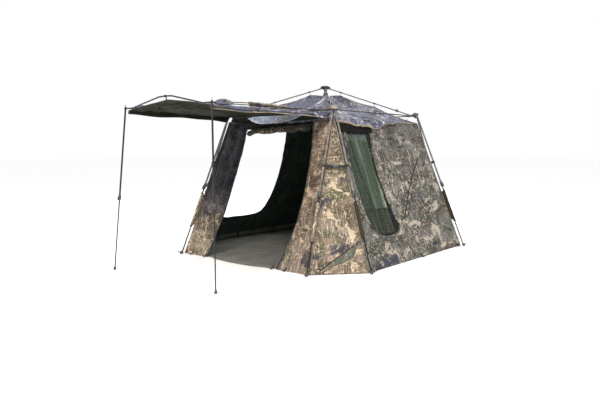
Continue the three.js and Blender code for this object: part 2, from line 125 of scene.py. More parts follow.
class Shader:
    """A node material round one Principled shader, in cloth coordinates (metres) or object ones.
    Its colour, the tint, is laid on in layers, and done() hands the material over."""

    def __init__(self, name, roughness, metallic=0.0, coordinates="UV"):
        self.material = bpy.data.materials.new(name)
        self.material.use_nodes = True
        self.tree = self.material.node_tree
        self.bsdf = self.tree.nodes["Principled BSDF"]
        self.feed(self.bsdf, Roughness=roughness, Metallic=metallic)
        source = self.add("ShaderNodeTexCoord")
        self.place = source.outputs[coordinates]
        self.object_place = source.outputs["Object"]

    def connect(self, socket, value):
        if isinstance(value, bpy.types.NodeSocket):
            self.tree.links.new(value, socket)
        else:
            socket.default_value = value

    def feed(self, node, **inputs):
        for name, value in inputs.items():
            self.connect(node.inputs[name.replace("_", " ")], value)
        return node

    def add(self, kind, settings=(), **inputs):
        node = self.tree.nodes.new(kind)
        for name, value in dict(settings).items():
            setattr(node, name, value)
        return self.feed(node, **inputs)

    def stretch(self, scale, offset=(0, 0, 0), turn=0.0):
        node = self.add("ShaderNodeMapping", Vector=self.place, Scale=scale)
        return self.feed(node, Location=offset, Rotation=(0, 0, turn)).outputs["Vector"]

    def noise(self, scale, detail=4.0, rough=0.5, warp=0.0, place=None):
        node = self.add("ShaderNodeTexNoise", Vector=place or self.place, Scale=scale)
        return self.feed(node, Detail=detail, Roughness=rough, Distortion=warp).outputs["Fac"]

    def cells(self, scale):
        return self.add("ShaderNodeTexVoronoi", Vector=self.place, Scale=scale).outputs["Distance"]

    def waves(self, scale, direction):
        settings = {"bands_direction": direction}
        return self.add("ShaderNodeTexWave", settings, Vector=self.place, Scale=scale).outputs["Fac"]

    def band(self, value, low, high):
        """0 below low, 1 above high, smooth between them; the other way round if low is above high."""
        node = self.add("ShaderNodeMapRange", {"interpolation_type": "SMOOTHSTEP"}, Value=value)
        self.feed(node, From_Min=min(low, high), From_Max=max(low, high))
        return self.feed(node, To_Min=float(low > high), To_Max=float(low < high)).outputs["Result"]

    def patches(self, low, high, *grain):
        """A mask where a noise is above low, and whole above high."""
        return self.band(self.noise(*grain), low, high)

    def compute(self, operation, first, second):
        node = self.add("ShaderNodeMath", {"operation": operation})
        self.connect(node.inputs[0], first)
        self.connect(node.inputs[1], second)
        return node.outputs[0]

    def plus(self, first, second):
        return self.compute("ADD", first, second)

    def times(self, first, second):
        return self.compute("MULTIPLY", first, second)

    def mix(self, factor, below, above, blend="MIX"):
        node = self.add("ShaderNodeMix", {"data_type": "RGBA", "blend_type": blend}, Factor=factor)
        self.connect(node.inputs[6], below)
        self.connect(node.inputs[7], above)
        return node.outputs[2]

    def lay(self, mask, paint, share=None):
        """Lays a colour over the tint where the mask is 1, or a share of it."""
        factor = mask if share is None else self.times(mask, share)
        self.tint = self.mix(factor, self.tint, paint)

    def roughen(self, least, share, grain):
        self.feed(self.bsdf, Roughness=self.plus(least, self.times(grain, share)))

    def bump(self, height, distance, strength=1.0):
        node = self.add("ShaderNodeBump", Height=height, Distance=distance, Strength=strength)
        normal = self.bsdf.inputs["Normal"]
        if normal.is_linked:
            self.feed(node, Normal=normal.links[0].from_socket)
        self.connect(normal, node.outputs["Normal"])

    def weave(self, ribs, distance, strength):
        self.bump(self.plus(self.waves(ribs, "X"), self.waves(ribs, "Y")), distance, strength)

    def done(self, **inputs):
        self.feed(self.bsdf, Base_Color=self.tint, **inputs)
        return self.material


def tone(colour):
    """A colour given as it looks, from 0 to 255, as the shader's linear one."""
    def linear(share):
        return share / 12.92 if share <= 0.04045 else ((share + 0.055) / 1.055) ** 2.4
    return (*(linear(value / 255) for value in colour), 1.0)


Palette = namedtuple("Palette", "base pale green brown dark twig shadow deep")


def camouflage(name, colours, painted_shade=None, painted_glow=0.0, spread=1.3):
    """Printed cloth: soft patches, ragged blotches, leaf clusters and a scatter of fine twigs.
    colours are a palette's eight, in its order.
    painted_shade = (colour, axis, low, high) paints shade on the print: it multiplies the print by the colour
    more and more from low to high along an axis.
    painted_glow is the strength of an emission in the print's own colour: a painted glow standing in for
    daylight behind a thin cloth.
    spread is how many times wider than tall its shapes are printed."""
    palette = Palette(*(tone(colour) for colour in colours))
    shader = Shader(name, 0.82)
    shader.place = shader.stretch((1 / spread, 1, 1))
    far = shader.stretch((1, 1, 1), (7.3, 2.9, 0))
    farther = shader.stretch((1, 1, 1), (21.7, -8.4, 0))
    leaf = shader.noise(40, 6, 0.74, 0.15)
    shader.tint = palette.base
    shader.lay(shader.patches(0.46, 0.58, 3.2, 5, 0.6, 0.8), palette.brown)
    shader.lay(shader.patches(0.52, 0.60, 2.3, 6, 0.62, 0.9, farther), palette.deep, 0.6)
    shader.lay(shader.patches(0.53, 0.58, 5.4, 8, 0.66, 1.0, far), palette.green)
    tears = shader.times(shader.noise(46, 4, 0.66, 0.3, far), 0.26)
    ragged = shader.plus(shader.noise(6.5, 9, 0.68, 0.6), tears)
    shader.lay(shader.band(ragged, 0.685, 0.730), palette.pale)
    leafy = shader.patches(0.44, 0.56, 2.9, 5, 0.62, 0.7, far)
    strength = shader.plus(0.28, shader.times(leafy, 0.60))
    shader.lay(shader.band(leaf, 0.53, 0.58), palette.pale, strength)
    shader.lay(shader.patches(0.565, 0.61, 44, 5, 0.74, 0.2, farther), palette.shadow, strength)
    for angle, scale, shift in ((0.5, 24.0, 3.1), (2.3, 20.8, 9.7), (1.45, 30.4, 15.2)):
        streak = shader.stretch((1.0, 0.16, 1.0), (shift, shift * 0.7, 0), angle)
        thin = shader.plus(shader.noise(scale, 2, 0.45, 0.35, streak), -0.5)
        line = shader.band(shader.compute("ABSOLUTE", thin, 0), 0.013, 0.005)
        where = shader.patches(0.50, 0.56, 4.4, 3, 0.5, 0.2, streak)
        shader.lay(shader.times(line, where), palette.twig, 0.8)
    shader.lay(shader.patches(0.590, 0.645, 3.6, 6, 0.62, 0.4, farther), palette.dark, 0.85)
    # Painted shade: the print is multiplied by the shade colour more and more towards the axis's high end
    if painted_shade:
        colour, axis, low, high = painted_shade
        split = shader.add("ShaderNodeSeparateXYZ", Vector=shader.object_place)
        wander = shader.plus(shader.times(shader.noise(3.0, 3), 0.5), split.outputs[axis])
        painted_shade_colour = shader.mix(1.0, shader.tint, tone(colour), "MULTIPLY")
        shader.lay(shader.band(wander, low + 0.25, high + 0.25), painted_shade_colour)
    # Painted glow: the cloth emits its own colour, in place of daylight shining through it
    if painted_glow:
        shader.feed(shader.bsdf, Emission_Color=shader.tint, Emission_Strength=painted_glow)
    shader.roughen(0.74, 0.2, leaf)
    shader.bump(shader.noise(9, 5, 0.55, 0.4), 0.012, 0.55)
    shader.weave(260, 0.0003, 0.35)
    return shader.done(Sheen_Weight=0.05, Specular_IOR_Level=0.2)


def plain_cloth(name, dark, light, sheen=0.1, crinkle=0.010, ribs=170):
    """Coated cloth of one colour, mottled, with its weave and fine creases."""
    shader = Shader(name, 0.78)
    shader.tint = shader.mix(shader.patches(0.35, 0.68, 5, 6, 0.6, 0.5), tone(dark), tone(light))
    shader.roughen(0.62, 0.25, shader.noise(18, 4))
    shader.bump(shader.noise(8, 5, 0.55, 0.6), crinkle, 0.5)
    shader.weave(ribs, 0.0003, 0.4)
    return shader.done(Sheen_Weight=sheen, Specular_IOR_Level=0.15)


def curtain_cloth(name, dark, light, fold_highlight):
    """Thin cloth with painted light: paler along the folds that stand to the light, pale painted highlights
    on its upright folds, and a painted glow for the daylight through it.
    """
    shader = Shader(name, 0.72)
    upright = shader.stretch((8.0, 0.45, 1.0))
    fine = shader.stretch((15.0, 0.5, 1.0), (3.0, 1.0, 0.0))
    folds = shader.patches(0.43, 0.57, 1.0, 3, 0.5, 0.2, upright)
    shader.tint = shader.mix(folds, tone(dark), tone(light))
    # Painted highlights: pale streaks along the upright folds
    shader.lay(shader.patches(0.56, 0.66, 1.0, 2, 0.5, 0.1, fine), tone(fold_highlight), 0.75)
    shader.bump(shader.noise(16, 4, 0.5, 0.4), 0.004, 0.4)
    shader.weave(300, 0.0002, 0.4)
    # Painted glow: an emission in the cloth's own colour, for daylight through the curtain
    return shader.done(Sheen_Weight=0.2, Emission_Color=shader.tint, Emission_Strength=0.30)


def webbing_cloth(name, dark, light):
    """Woven tape, ribbed along its length, with a little fluff."""
    shader = Shader(name, 0.85)
    shader.tint = shader.mix(shader.noise(160, 3, 0.6), tone(dark), tone(light))
    shader.bump(shader.waves(220, "DIAGONAL"), 0.0006, 0.6)
    return shader.done()


def net_cloth(name, dark, light):
    """Fine dark netting, seen through."""
    shader = Shader(name, 0.7)
    shader.tint = shader.mix(shader.noise(30, 3), tone(dark), tone(light))
    shader.bump(shader.cells(500), 0.0001, 0.15)
    return shader.done(Alpha=0.20)


def painted_metal(name, dark, light, scuffed, roughness, metallic):
    """Powder-coated tube: fine orange peel, faint streaks and a few worn scuffs."""
    shader = Shader(name, roughness, metallic, "Object")
    shader.tint = shader.mix(shader.patches(0.35, 0.65, 14, 5, 0.6, 0.4), tone(dark), tone(light))
    shader.lay(shader.patches(0.66, 0.72, 46, 6, 0.7, 0.8), tone(scuffed), 0.6)
    shader.roughen(roughness - 0.08, 0.2, shader.noise(60, 4))
    shader.bump(shader.noise(900, 2), 0.0002, 0.3)
    return shader.done()


def moulded_plastic(name, dark, light):
    """Glass-filled nylon: fine pebble grain, duller where it is handled."""
    shader = Shader(name, 0.5, 0.0, "Object")
    shader.tint = shader.mix(shader.patches(0.35, 0.7, 22, 5, 0.6), tone(dark), tone(light))
    shader.roughen(0.42, 0.25, shader.noise(35, 4))
    shader.bump(shader.cells(700), 0.0003, 0.4)
    return shader.done()


def add_floor():
    shader = Shader("floor_paint", 0.9, 0.0, "Object")
    shader.tint = shader.mix(shader.noise(0.6, 2), tone((250, 250, 250)), tone((254, 254, 254)))
    half, height = 60, -0.001
    mesh = bpy.data.meshes.new("floor")
    corners = [(-half, -half, height), (half, -half, height), (half, half, height), (-half, half, height)]
    mesh.from_pydata(corners, [], [(0, 1, 2, 3)])
    mesh.materials.append(shader.done())
    floor = bpy.data.objects.new("floor", mesh)
    scene.collection.objects.link(floor)


add_floor()

# Each print's colours: base, pale, green, brown, dark, twig, shadow, deep
LAND_COLOURS = (
    (124, 112, 99), (186, 168, 144), (80, 82, 62), (94, 80, 66),
    (50, 51, 66), (208, 196, 178), (36, 34, 30), (62, 58, 50),
)
# A greyer, darker copy of the land print: painted shade for the right wall, which the light reaches less
RIGHT_WALL_SHADE_COLOURS = (
    (96, 95, 92), (166, 155, 141), (56, 61, 49), (72, 65, 60),
    (42, 46, 64), (180, 172, 160), (20, 21, 21), (32, 34, 35),
)
# The roof's camo print with its colours tinted slate blue: painted reflection of the sky
ROOF_SKY_TINT_COLOURS = (
    (80, 84, 102), (124, 126, 142), (88, 80, 74), (62, 62, 78),
    (28, 32, 52), (206, 208, 220), (20, 22, 34), (38, 42, 58),
)
# The valance's camo print coloured pale sky blue and white: painted daylight and painted sky reflection on a
# cloth that hangs in the awning's shade
VALANCE_PAINTED_LIGHT_COLOURS = (
    (196, 222, 248), (248, 251, 255), (176, 204, 228), (164, 166, 186),
    (84, 118, 170), (252, 253, 255), (104, 120, 148), (138, 168, 206),
)
# The rolled door's print, dark all over: painted shade under the awning
ROLL_SHADE_COLOURS = (
    (52, 47, 40), (104, 91, 74), (32, 33, 25), (36, 31, 25),
    (14, 14, 18), (128, 117, 101), (8, 8, 7), (16, 15, 13),
)
VENT_COLOURS = (
    (102, 106, 94), (138, 132, 114), (76, 86, 74), (96, 88, 74),
    (48, 52, 60), (158, 154, 138), (48, 50, 42), (72, 74, 62),
)

LAND = camouflage("camo_land", LAND_COLOURS)
ROOF = camouflage("camo_roof", ROOF_SKY_TINT_COLOURS)
# The valance: painted daylight in its palette, painted shade towards +X and a painted glow
VALANCE = camouflage("camo_valance_painted_light", VALANCE_PAINTED_LIGHT_COLOURS, ((196, 190, 180), "X", -0.20, 0.15), 0.30)
# The right wall's print: painted shade, with more of it towards the top under the brim
RIGHT_WALL_SHADE = camouflage("camo_right_wall_painted_shade", RIGHT_WALL_SHADE_COLOURS, ((205, 206, 210), "Z", 1.05, 1.50), spread=1.7)
# The front left wall: the land print with painted shade, dark blue towards the top, for the awning's shadow
SHADED = camouflage("camo_shaded", LAND_COLOURS, ((94, 102, 126), "Z", 0.18, 0.74))
# The front right wall: the land print with a little painted shade towards the top
DRAPED_SHADE = camouflage("camo_draped_painted_shade", LAND_COLOURS, ((205, 200, 200), "Z", -0.60, 0.90))
ROLLED_SHADE = camouflage("camo_roll_painted_shade", ROLL_SHADE_COLOURS)
VENT = camouflage("camo_vent", VENT_COLOURS)
LINING = plain_cloth("lining", (46, 58, 51), (68, 82, 72), 0.05, 0.020)
AWNING_LINING = plain_cloth("awning_lining", (18, 20, 8), (35, 39, 17), 0.0, 0.014)
FLOOR_CLOTH = plain_cloth("floor_cloth", (98, 99, 93), (118, 118, 112), 0.05, 0.016, 120)
# Curtains with painted light and shade on their folds, and a painted glow
CURTAIN = curtain_cloth("curtain", (46, 61, 45), (59, 77, 57), (130, 146, 126))
CURTAIN_HIGH = curtain_cloth("curtain_high", (74, 90, 83), (112, 126, 117), (146, 158, 148))
CURTAIN_LOW = curtain_cloth("curtain_low", (22, 32, 10), (42, 55, 22), (98, 108, 62))
TAN_EDGE = plain_cloth("tan_edge", (112, 100, 84), (168, 154, 132), 0.1, 0.003)
# Near-black cloth that paints shade: on the doorway's head and the eave flaps under the awning
SHADE_BLACK_CLOTH = plain_cloth("painted_shade_black_cloth", (14, 15, 14), (28, 29, 26), 0.05, 0.006)
# Near-black cloth that paints the shade under the brim, over the window
SHADOW_CLOTH = plain_cloth("shadow_cloth", (5, 5, 5), (13, 13, 12), 0.0, 0.004)
BROWN_CLOTH = plain_cloth("brown_cloth", (40, 37, 26), (60, 55, 39), 0.1, 0.006)
WEBBING = webbing_cloth("webbing", (20, 21, 22), (44, 46, 47))
PALE_WEBBING = webbing_cloth("pale_webbing", (118, 120, 126), (150, 152, 158))
NET = net_cloth("net", (30, 34, 30), (46, 52, 44))
STEEL = painted_metal("dark_steel", (84, 87, 94), (110, 113, 120), (150, 152, 156), 0.45, 0.45)
LOWER_STEEL = painted_metal("black_steel", (28, 30, 32), (42, 44, 47), (96, 98, 100), 0.38, 0.5)
CAMO_STEEL = painted_metal("mottled_steel", (92, 88, 84), (128, 123, 117), (164, 160, 154), 0.6, 0.1)
PLASTIC = moulded_plastic("joint_plastic", (54, 55, 58), (80, 81, 85))
CAP_PLASTIC = moulded_plastic("cap_plastic", (122, 108, 102), (158, 142, 132))


# ---- The frame's own lines ----

CORNERS = {"front_right": (1, -1), "back_right": (1, 1), "back_left": (-1, 1), "front_left": (-1, -1)}
# Each wall's direction along it, left to right as seen from outside, and its outward direction
SIDES = {"front": (X, -Y), "right": (Y, X), "back": (-X, Y), "left": (-Y, -X)}
# The corners at the low and the high end of each wall
ENDS = {
    "front": ("front_left", "front_right"),
    "right": ("front_right", "back_right"),
    "back": ("back_right", "back_left"),
    "left": ("back_left", "front_left"),
}
# The walls that end at a corner and that start there
CORNER_SIDES = {
    "front_right": ("front", "right"),
    "back_right": ("right", "back"),
    "back_left": ("back", "left"),
    "front_left": ("left", "front"),
}

CLOTH = 0.002  # thickness of most cloth
THIN_CLOTH = 0.0012  # and of what is sewn on to it
WALL_INSET = 0.045  # the walls hang this far inside the feet


def leg_name(corner, side):
    return f"{corner}_{side if side in ('front', 'back') else 'side'}"


# Each leg's name, its side and the end of that side's wall where it stands
LEGS = [
    (leg_name(corner, side), side, end)
    for corner, sides in CORNER_SIDES.items()
    for side, end in zip(sides, (1, -1))
]


def pivot(name):
    return Vector(JOINTS[name]["pos_m"])


def leg_up(leg):
    return Vector(JOINTS[f"leg_slide_{leg}"]["axis"])


def leg_point(leg, height):
    """The point of a leg's centre line at a height above the ground."""
    top, up = pivot(f"leg_hinge_{leg}"), leg_up(leg)
    return top - up * ((top.z - height) / up.z)


SAMPLE_FOOT = leg_point("front_right_front", 0)
SAMPLE_UP = leg_up("front_right_front")
WALL_SLOPE = SAMPLE_UP.y / SAMPLE_UP.z
EDGE_SLOPE = -SAMPLE_UP.x / SAMPLE_UP.z
WALL_FOOT = -SAMPLE_FOOT.y - WALL_INSET
EDGE_FOOT = SAMPLE_FOOT.x - EDGE_SLOPE * WALL_INSET
WALL_LOW, WALL_TOP = (corner.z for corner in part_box("front_wall_right"))
ROOF_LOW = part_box("roof_quarter_front_right")[0].z
ROOF_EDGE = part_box("roof_quarter_front_right")[1].x
ARM_PIVOT = pivot("arm_hinge_back_right")
CORNER_PIVOT = pivot("corner_hinge_back_right")


def edge_at(height):
    return EDGE_FOOT - EDGE_SLOPE * height


def wall_normal(side):
    return (SIDES[side][1] + UP * WALL_SLOPE).normalized()


def wall_point(side, s, z, proud=0.0):
    """A point s along a wall and z up it, `proud` outside the flat cloth."""
    along, outward = SIDES[side]
    return along * s + outward * (WALL_FOOT - WALL_SLOPE * z) + UP * z + wall_normal(side) * proud


def smooth(value, low, high):
    share = min(max((value - low) / (high - low), 0.0), 1.0)
    return share * share * (3 - 2 * share)


def ripple(x, y, seed, scale):
    return noise.noise(Vector((x * scale, y * scale, seed)))


def arm_height(reach):
    """Height of a roof arm's centre line at a distance from the hub's axis."""
    start, end = ARM_PIVOT.xy.length, CORNER_PIVOT.xy.length
    share = (reach - start) / (end - start)
    return ARM_PIVOT.z + (CORNER_PIVOT.z - ARM_PIVOT.z) * share


# ---- Flat shapes ----


def inside(x, y, loop):
    """Whether a point lies inside a closed loop of points."""
    found = False
    last = loop[-1]
    for here in loop:
        if (here[1] > y) != (last[1] > y):
            if x < (last[0] - here[0]) * (y - here[1]) / (last[1] - here[1]) + here[0]:
                found = not found
        last = here
    return found


def resample(path, step, closed=True):
    """The path again, with a point at least every step and all its own corners kept."""
    ends = path[1:] + path[:1] if closed else path[1:]
    result = []
    for start, end in zip(path, ends):
        count = max(1, round(math.dist(start, end) / step))
        for share in (index / count for index in range(count)):
            result.append((start[0] + (end[0] - start[0]) * share, start[1] + (end[1] - start[1]) * share))
    return result if closed else [*result, tuple(path[-1])]


def curves(start, *bends, steps=12):
    """Points of quadratic curves that follow each other, without the last one: each bend is a
    (control point, end)."""
    points = []
    for control, end in bends:
        for t in (index / steps for index in range(steps)):
            a, b, c = (1 - t) ** 2, 2 * t * (1 - t), t * t
            points.append(tuple(a * start[i] + b * control[i] + c * end[i] for i in (0, 1)))
        start = end
    return points


def grown(outline, amount):
    """An outline moved outward from its middle by an amount."""
    middle_x = sum(x for x, _ in outline) / len(outline)
    middle_y = sum(y for _, y in outline) / len(outline)
    result = []
    for x, y in outline:
        away = Vector((x - middle_x, y - middle_y))
        away *= 1 + amount / away.length
        result.append((middle_x + away.x, middle_y + away.y))
    return result


def triangulate(outline, holes, step, creases=()):
    """Even triangles inside an outline: (points, faces)."""
    loops = [resample(loop, step) for loop in (outline, *holes)]
    points, edges = [], []
    for line, closed in [(loop, True) for loop in loops] + [(crease, False) for crease in creases]:
        if not closed:
            line = resample(line, step, closed=False)
        first, count = len(points), len(line)
        points += line
        edges += [(first + i, first + (i + 1) % count) for i in range(count if closed else count - 1)]

    def within(x, y):
        return inside(x, y, loops[0]) and not any(inside(x, y, loop) for loop in loops[1:])

    tree = kdtree.KDTree(len(points))
    for index, point in enumerate(points):
        tree.insert((*point, 0), index)
    tree.balance()
    xs, ys = [p[0] for p in loops[0]], [p[1] for p in loops[0]]
    rise = step * math.sqrt(3) / 2
    for row in range(1, int((max(ys) - min(ys)) / rise) + 1):
        y = min(ys) + row * rise
        for column in range(int((max(xs) - min(xs)) / step) + 2):
            x = min(xs) + (column + 0.5 * (row % 2)) * step
            if tree.find((x, y, 0))[2] > step * 0.55 and within(x, y):
                points.append((x, y))
    found = delaunay_2d_cdt([Vector(p) for p in points], edges, [], 0, 1e-6)
    places = [tuple(p) for p in found[0]]
    faces = [
        face for face in found[2]
        if within(sum(places[i][0] for i in face) / 3, sum(places[i][1] for i in face) / 3)
    ]
    used = sorted({i for face in faces for i in face})
    renumber = {old: new for new, old in enumerate(used)}
    return [places[i] for i in used], [tuple(renumber[i] for i in face) for face in faces]


def grid_faces(columns, rows):
    """Two triangles for each cell of a grid of points, row by row."""
    faces = []
    for row in range(rows):
        for column in range(columns):
            a = row * (columns + 1) + column
            b = a + columns + 1
            faces += [(a, a + 1, b + 1), (a, b + 1, b)]
    return faces


def smallest_box(flat):
    """Sides of the smallest rectangle, at any of 18 turns, that a cut fits in."""
    found = []
    for turn in range(18):
        cosine, sine = math.cos(math.radians(5 * turn)), math.sin(math.radians(5 * turn))
        xs = [x * cosine + y * sine for x, y in flat]
        ys = [y * cosine - x * sine for x, y in flat]
        found.append((max(xs) - min(xs), max(ys) - min(ys)))
    return min(found, key=lambda sides: sides[0] * sides[1])


# ---- Pieces ----


def add_object(name, points, faces, uvs, materials, slots=()):
    mesh = bpy.data.meshes.new(name)
    mesh.from_pydata(points, [], faces)
    layer = mesh.uv_layers.new(name="cloth")
    for loop in mesh.loops:
        layer.data[loop.index].uv = uvs[loop.vertex_index]
    for material in materials:
        mesh.materials.append(material)
    for face, index in zip(mesh.polygons, slots):
        face.material_index = index
    mesh.shade_smooth()
    made = bpy.data.objects.new(name, mesh)
    scene.collection.objects.link(made)
    return made


def settle(piece, body, gather=None, slot=None, stands_for=()):
    """The piece rides on its body and stands for CAD nodes, which it hides. gather names a direction to
    flatten in and a point that would stay put;
    with one, the piece only gets a mesh of its own."""
    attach(piece, body)
    if gather:
        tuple(gather[0])
        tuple(gather[1])
        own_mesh(piece)
    if stands_for:
        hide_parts(*stands_for)
    return piece


def flat_area(points, faces):
    return sum((points[b] - points[a]).cross(points[c] - points[a]).length / 2 for a, b, c in faces)


def add_cloth(name, flat, faces, place, carrier, materials, held, rests_on, nodes=(), thick=CLOTH):
    """A two-sided sheet of cloth: flat points in metres, put in space by place(u, v). Its carrier is
    its (body, gather)."""
    points = [place(u, v) for u, v in flat]
    offset = (rng.uniform(0, 40), rng.uniform(0, 40))
    uvs = [(u + offset[0], v + offset[1]) for u, v in flat]
    piece = add_object(name, points, faces, uvs, materials)
    solidify = piece.modifiers.new("thickness", "SOLIDIFY")
    solidify.thickness = thick
    solidify.offset = -1
    solidify.material_offset = 1
    solidify.material_offset_rim = 0
    settle(piece, *carrier, "camo_cloth", nodes)
    area = flat_area([Vector(p) for p in points], faces)
    stretch = math.sqrt(area / flat_area([Vector((*p, 0)) for p in flat], faces))
    width, length = (side * stretch for side in smallest_box(flat))
    list(rests_on)
    return piece


def add_patch(name, outline, step, *rest, holes=(), creases=(), **settings):
    """A cloth cut to an outline: rest and settings are add_cloth's, from place on."""
    return add_cloth(name, *triangulate(outline, holes, step, creases), *rest, **settings)


def circle(side, other, count, closed=False):
    """Unit vectors all round, from side towards other; closed repeats the first one."""
    angles = [2 * math.pi * k / count for k in range(count + closed)]
    return [side * math.cos(angle) + other * math.sin(angle) for angle in angles]


def across(axis):
    """Two directions across an axis and each other."""
    side = axis.cross(UP if abs(axis.z) < 0.9 else X).normalized()
    return side, axis.normalized().cross(side)


def tangents(path):
    last = len(path) - 1
    return [(path[min(i + 1, last)] - path[max(i - 1, 0)]).normalized() for i in range(last + 1)]


class Trim:
    """Small pieces that share a body, gathered into one mesh."""

    def __init__(self, *materials):
        self.materials = materials
        self.points, self.faces, self.slots, self.uvs = [], [], [], []

    def add(self, rings, slot):
        """Rings of points joined by quads and capped; its uv runs round and along it."""
        first, count = len(self.points), len(rings[0])
        run = 0.0
        for index, ring in enumerate(rings):
            if index:
                run += (ring[0] - rings[index - 1][0]).length
            self.points += ring
            self.uvs += [(number * 0.004, run) for number in range(count)]
        for row in range(len(rings) - 1):
            for column in range(count):
                a = first + row * count + column
                b = first + row * count + (column + 1) % count
                self.faces.append((a, b, b + count, a + count))
        last = first + (len(rings) - 1) * count
        self.faces.append(tuple(first + i for i in reversed(range(count))))
        self.faces.append(tuple(last + i for i in range(count)))
        self.slots += [slot] * ((len(rings) - 1) * count + 2)

    def tube(self, path, radius, slot=0, sides=10):
        """A round rod along a path; radius may be one number or one for each point."""
        radii = radius if isinstance(radius, list) else [radius] * len(path)
        rings, side = [], None
        for point, tangent, size in zip(path, tangents(path), radii):
            side = side or tangent.cross(UP if abs(tangent.z) < 0.9 else X)
            side = (side - tangent * side.dot(tangent)).normalized()
            rings.append([point + way * size for way in circle(side, tangent.cross(side), sides)])
        self.add(rings, slot)

    def bar(self, middle, half, radius, slot=0, sides=10):
        """A short straight rod, from half before its middle to half past it."""
        self.tube([middle - half, middle + half], radius, slot, sides)

    def ribbon(self, path, facing, width, thickness=0.0016, slot=0):
        """A flat strap along a path, its face turned towards `facing` (one vector or one a point)."""
        ways = facing if isinstance(facing, list) else [facing] * len(path)
        rings = []
        for point, tangent, way in zip(path, tangents(path), ways):
            side = tangent.cross(way).normalized()
            half, lift = side * (width / 2), side.cross(tangent).normalized() * (thickness / 2)
            rings.append([point - half - lift, point + half - lift, point + half + lift, point - half + lift])
        self.add(rings, slot)

    def knob(self, centre, axis, profile, slot=0, sides=16):
        """A turned piece: profile is a list of (distance along the axis, radius)."""
        axis = axis.normalized()
        ways = circle(*across(axis), sides)
        self.add([[centre + axis * along + way * radius for way in ways] for along, radius in profile], slot)

    def loop(self, centre, axes, radius, width, thickness, slot=0, count=16):
        """A strap round a tube, and the points of its ring."""
        ways = circle(*axes, count, closed=True)
        ring = [centre + way * radius for way in ways]
        self.ribbon(ring, ways, width, thickness, slot)
        return ring

    def build(self, name, body, gather=None, slot=None):
        piece = add_object(name, self.points, self.faces, self.uvs, self.materials, self.slots)
        piece.data.polygons.foreach_set("use_smooth", [len(f.vertices) == 4 for f in piece.data.polygons])
        return settle(piece, body, gather, slot)


# ---- Walls ----

STEP = 0.030  # spacing of the cloth's points
DRAPE_STEP = 0.017  # and where it hangs in folds beside the doorway
TRIM_STEP = 0.025  # and along tapes and piping
PEGS = {
    "front": (-0.90, -0.64, 0.52, 0.71),
    "right": (-0.98, 0.04, 0.96),
    "back": (-0.96, 0.0, 0.96),
    "left": (-0.96, -0.04, 0.98),
}
DOOR_HEAD = 1.572
DOOR_LEFT = ((-0.470, 0.700), (-0.520, DOOR_HEAD))
DOOR_RIGHT = ((0.850, 0.860), (0.577, WALL_LOW))
DOOR_LEFT_EDGE = [*curves((-0.620, WALL_LOW), DOOR_LEFT), DOOR_LEFT[1]]
DOOR_RIGHT_EDGE = [*curves((0.596, DOOR_HEAD), DOOR_RIGHT), DOOR_RIGHT[1]]
DOOR_EDGES = {"left": DOOR_LEFT_EDGE, "right": DOOR_RIGHT_EDGE}
RIGHT_SPLIT = -0.130
SILL, WINDOW_TOP, OPENING_TOP = 0.322, 1.560, 1.585
WINDOW_FOOT, WINDOW_HEEL = (-0.765, 0.455), (-0.215, 0.440)
WINDOW_REAR = ((-0.460, 1.010), (-0.262, WINDOW_TOP))
WINDOW = [WINDOW_REAR[1]] + curves(
    (-0.765, WINDOW_TOP),
    ((-0.950, 0.930), WINDOW_FOOT),
    ((-0.700, SILL), (-0.470, SILL)),
    ((-0.215, SILL), WINDOW_HEEL),
    WINDOW_REAR,
)[:-1]
SIDE_OPENING = (
    [(0.770, OPENING_TOP)]
    + curves((-0.200, OPENING_TOP), ((-0.345, 0.930), (-0.165, 0.500)), ((-0.090, SILL), (0.150, SILL)))
    + curves((0.520, SILL), ((0.740, SILL), (0.800, 0.520)), ((0.900, 1.000), (0.770, OPENING_TOP)))[:-1]
)


def crease(dx, dy, count, reach, depth, turn):
    """Folds that fan out from a point where the cloth is held."""
    distance = math.hypot(dx, dy)
    fade = distance / reach * math.exp(1 - distance / reach)
    return depth * fade * math.cos(count * math.atan2(dy, dx) + turn)


def edge_s(edge, z):
    """Where a door or window edge stands at a height."""
    for low, high in zip(edge, edge[1:]):
        if min(low[1], high[1]) <= z <= max(low[1], high[1]):
            share = (z - low[1]) / (high[1] - low[1])
            return low[0] + (high[0] - low[0]) * share
    return min(edge, key=lambda point: abs(point[1] - z))[0]


def drape(s, z):
    """Folds that hang beside the doorway, where the front wall is narrow and slack."""
    door = edge_s(DOOR_EDGES["left" if s < 0 else "right"], z)
    share = (abs(s) - abs(door)) / (edge_at(z) - abs(door))
    if share < -0.05:
        return 0.0
    folds = 3.4 if s > 0 else 2.1
    sway = 0.8 * ripple(s, z, 31.0, 1.3)
    depth = 0.044 * smooth(z, 0.0, 0.5)
    return depth * (abs(math.sin(math.pi * folds * share + sway + 0.4)) ** 0.75 - 0.5)


def wall_relief(side, s, z):
    """How far a wall's cloth stands off its flat line."""
    seed = 3.0 + 10 * list(SIDES).index(side)
    edge = edge_at(z)
    calm = smooth(edge - abs(s), 0.0, 0.12)
    low = 0.3 + 0.7 * smooth(z, 0.0, 0.25)
    high = 0.4 + 0.6 * smooth(WALL_TOP - z, 0.0, 0.15)
    proud = -0.014 * math.sin(math.pi * z / WALL_TOP) * smooth(edge - abs(s), 0.0, 0.6)
    proud += 0.020 * ripple(s, z * 0.55, seed, 2.4)
    proud += 0.010 * ripple(s + 0.4 * z, z, seed + 2, 6.5)
    proud += 0.0045 * ripple(s, z, seed + 4, 15.0)
    for number, peg in enumerate(PEGS[side]):
        proud += crease(s - peg, z, 9, 0.13, 0.006, number)
    for end in (-1, 1):
        proud += crease(s - end * edge_at(WALL_TOP), z - WALL_TOP, 11, 0.20, 0.006, end)
    if side == "front":
        proud += drape(s, z)
    return proud * calm * low * high


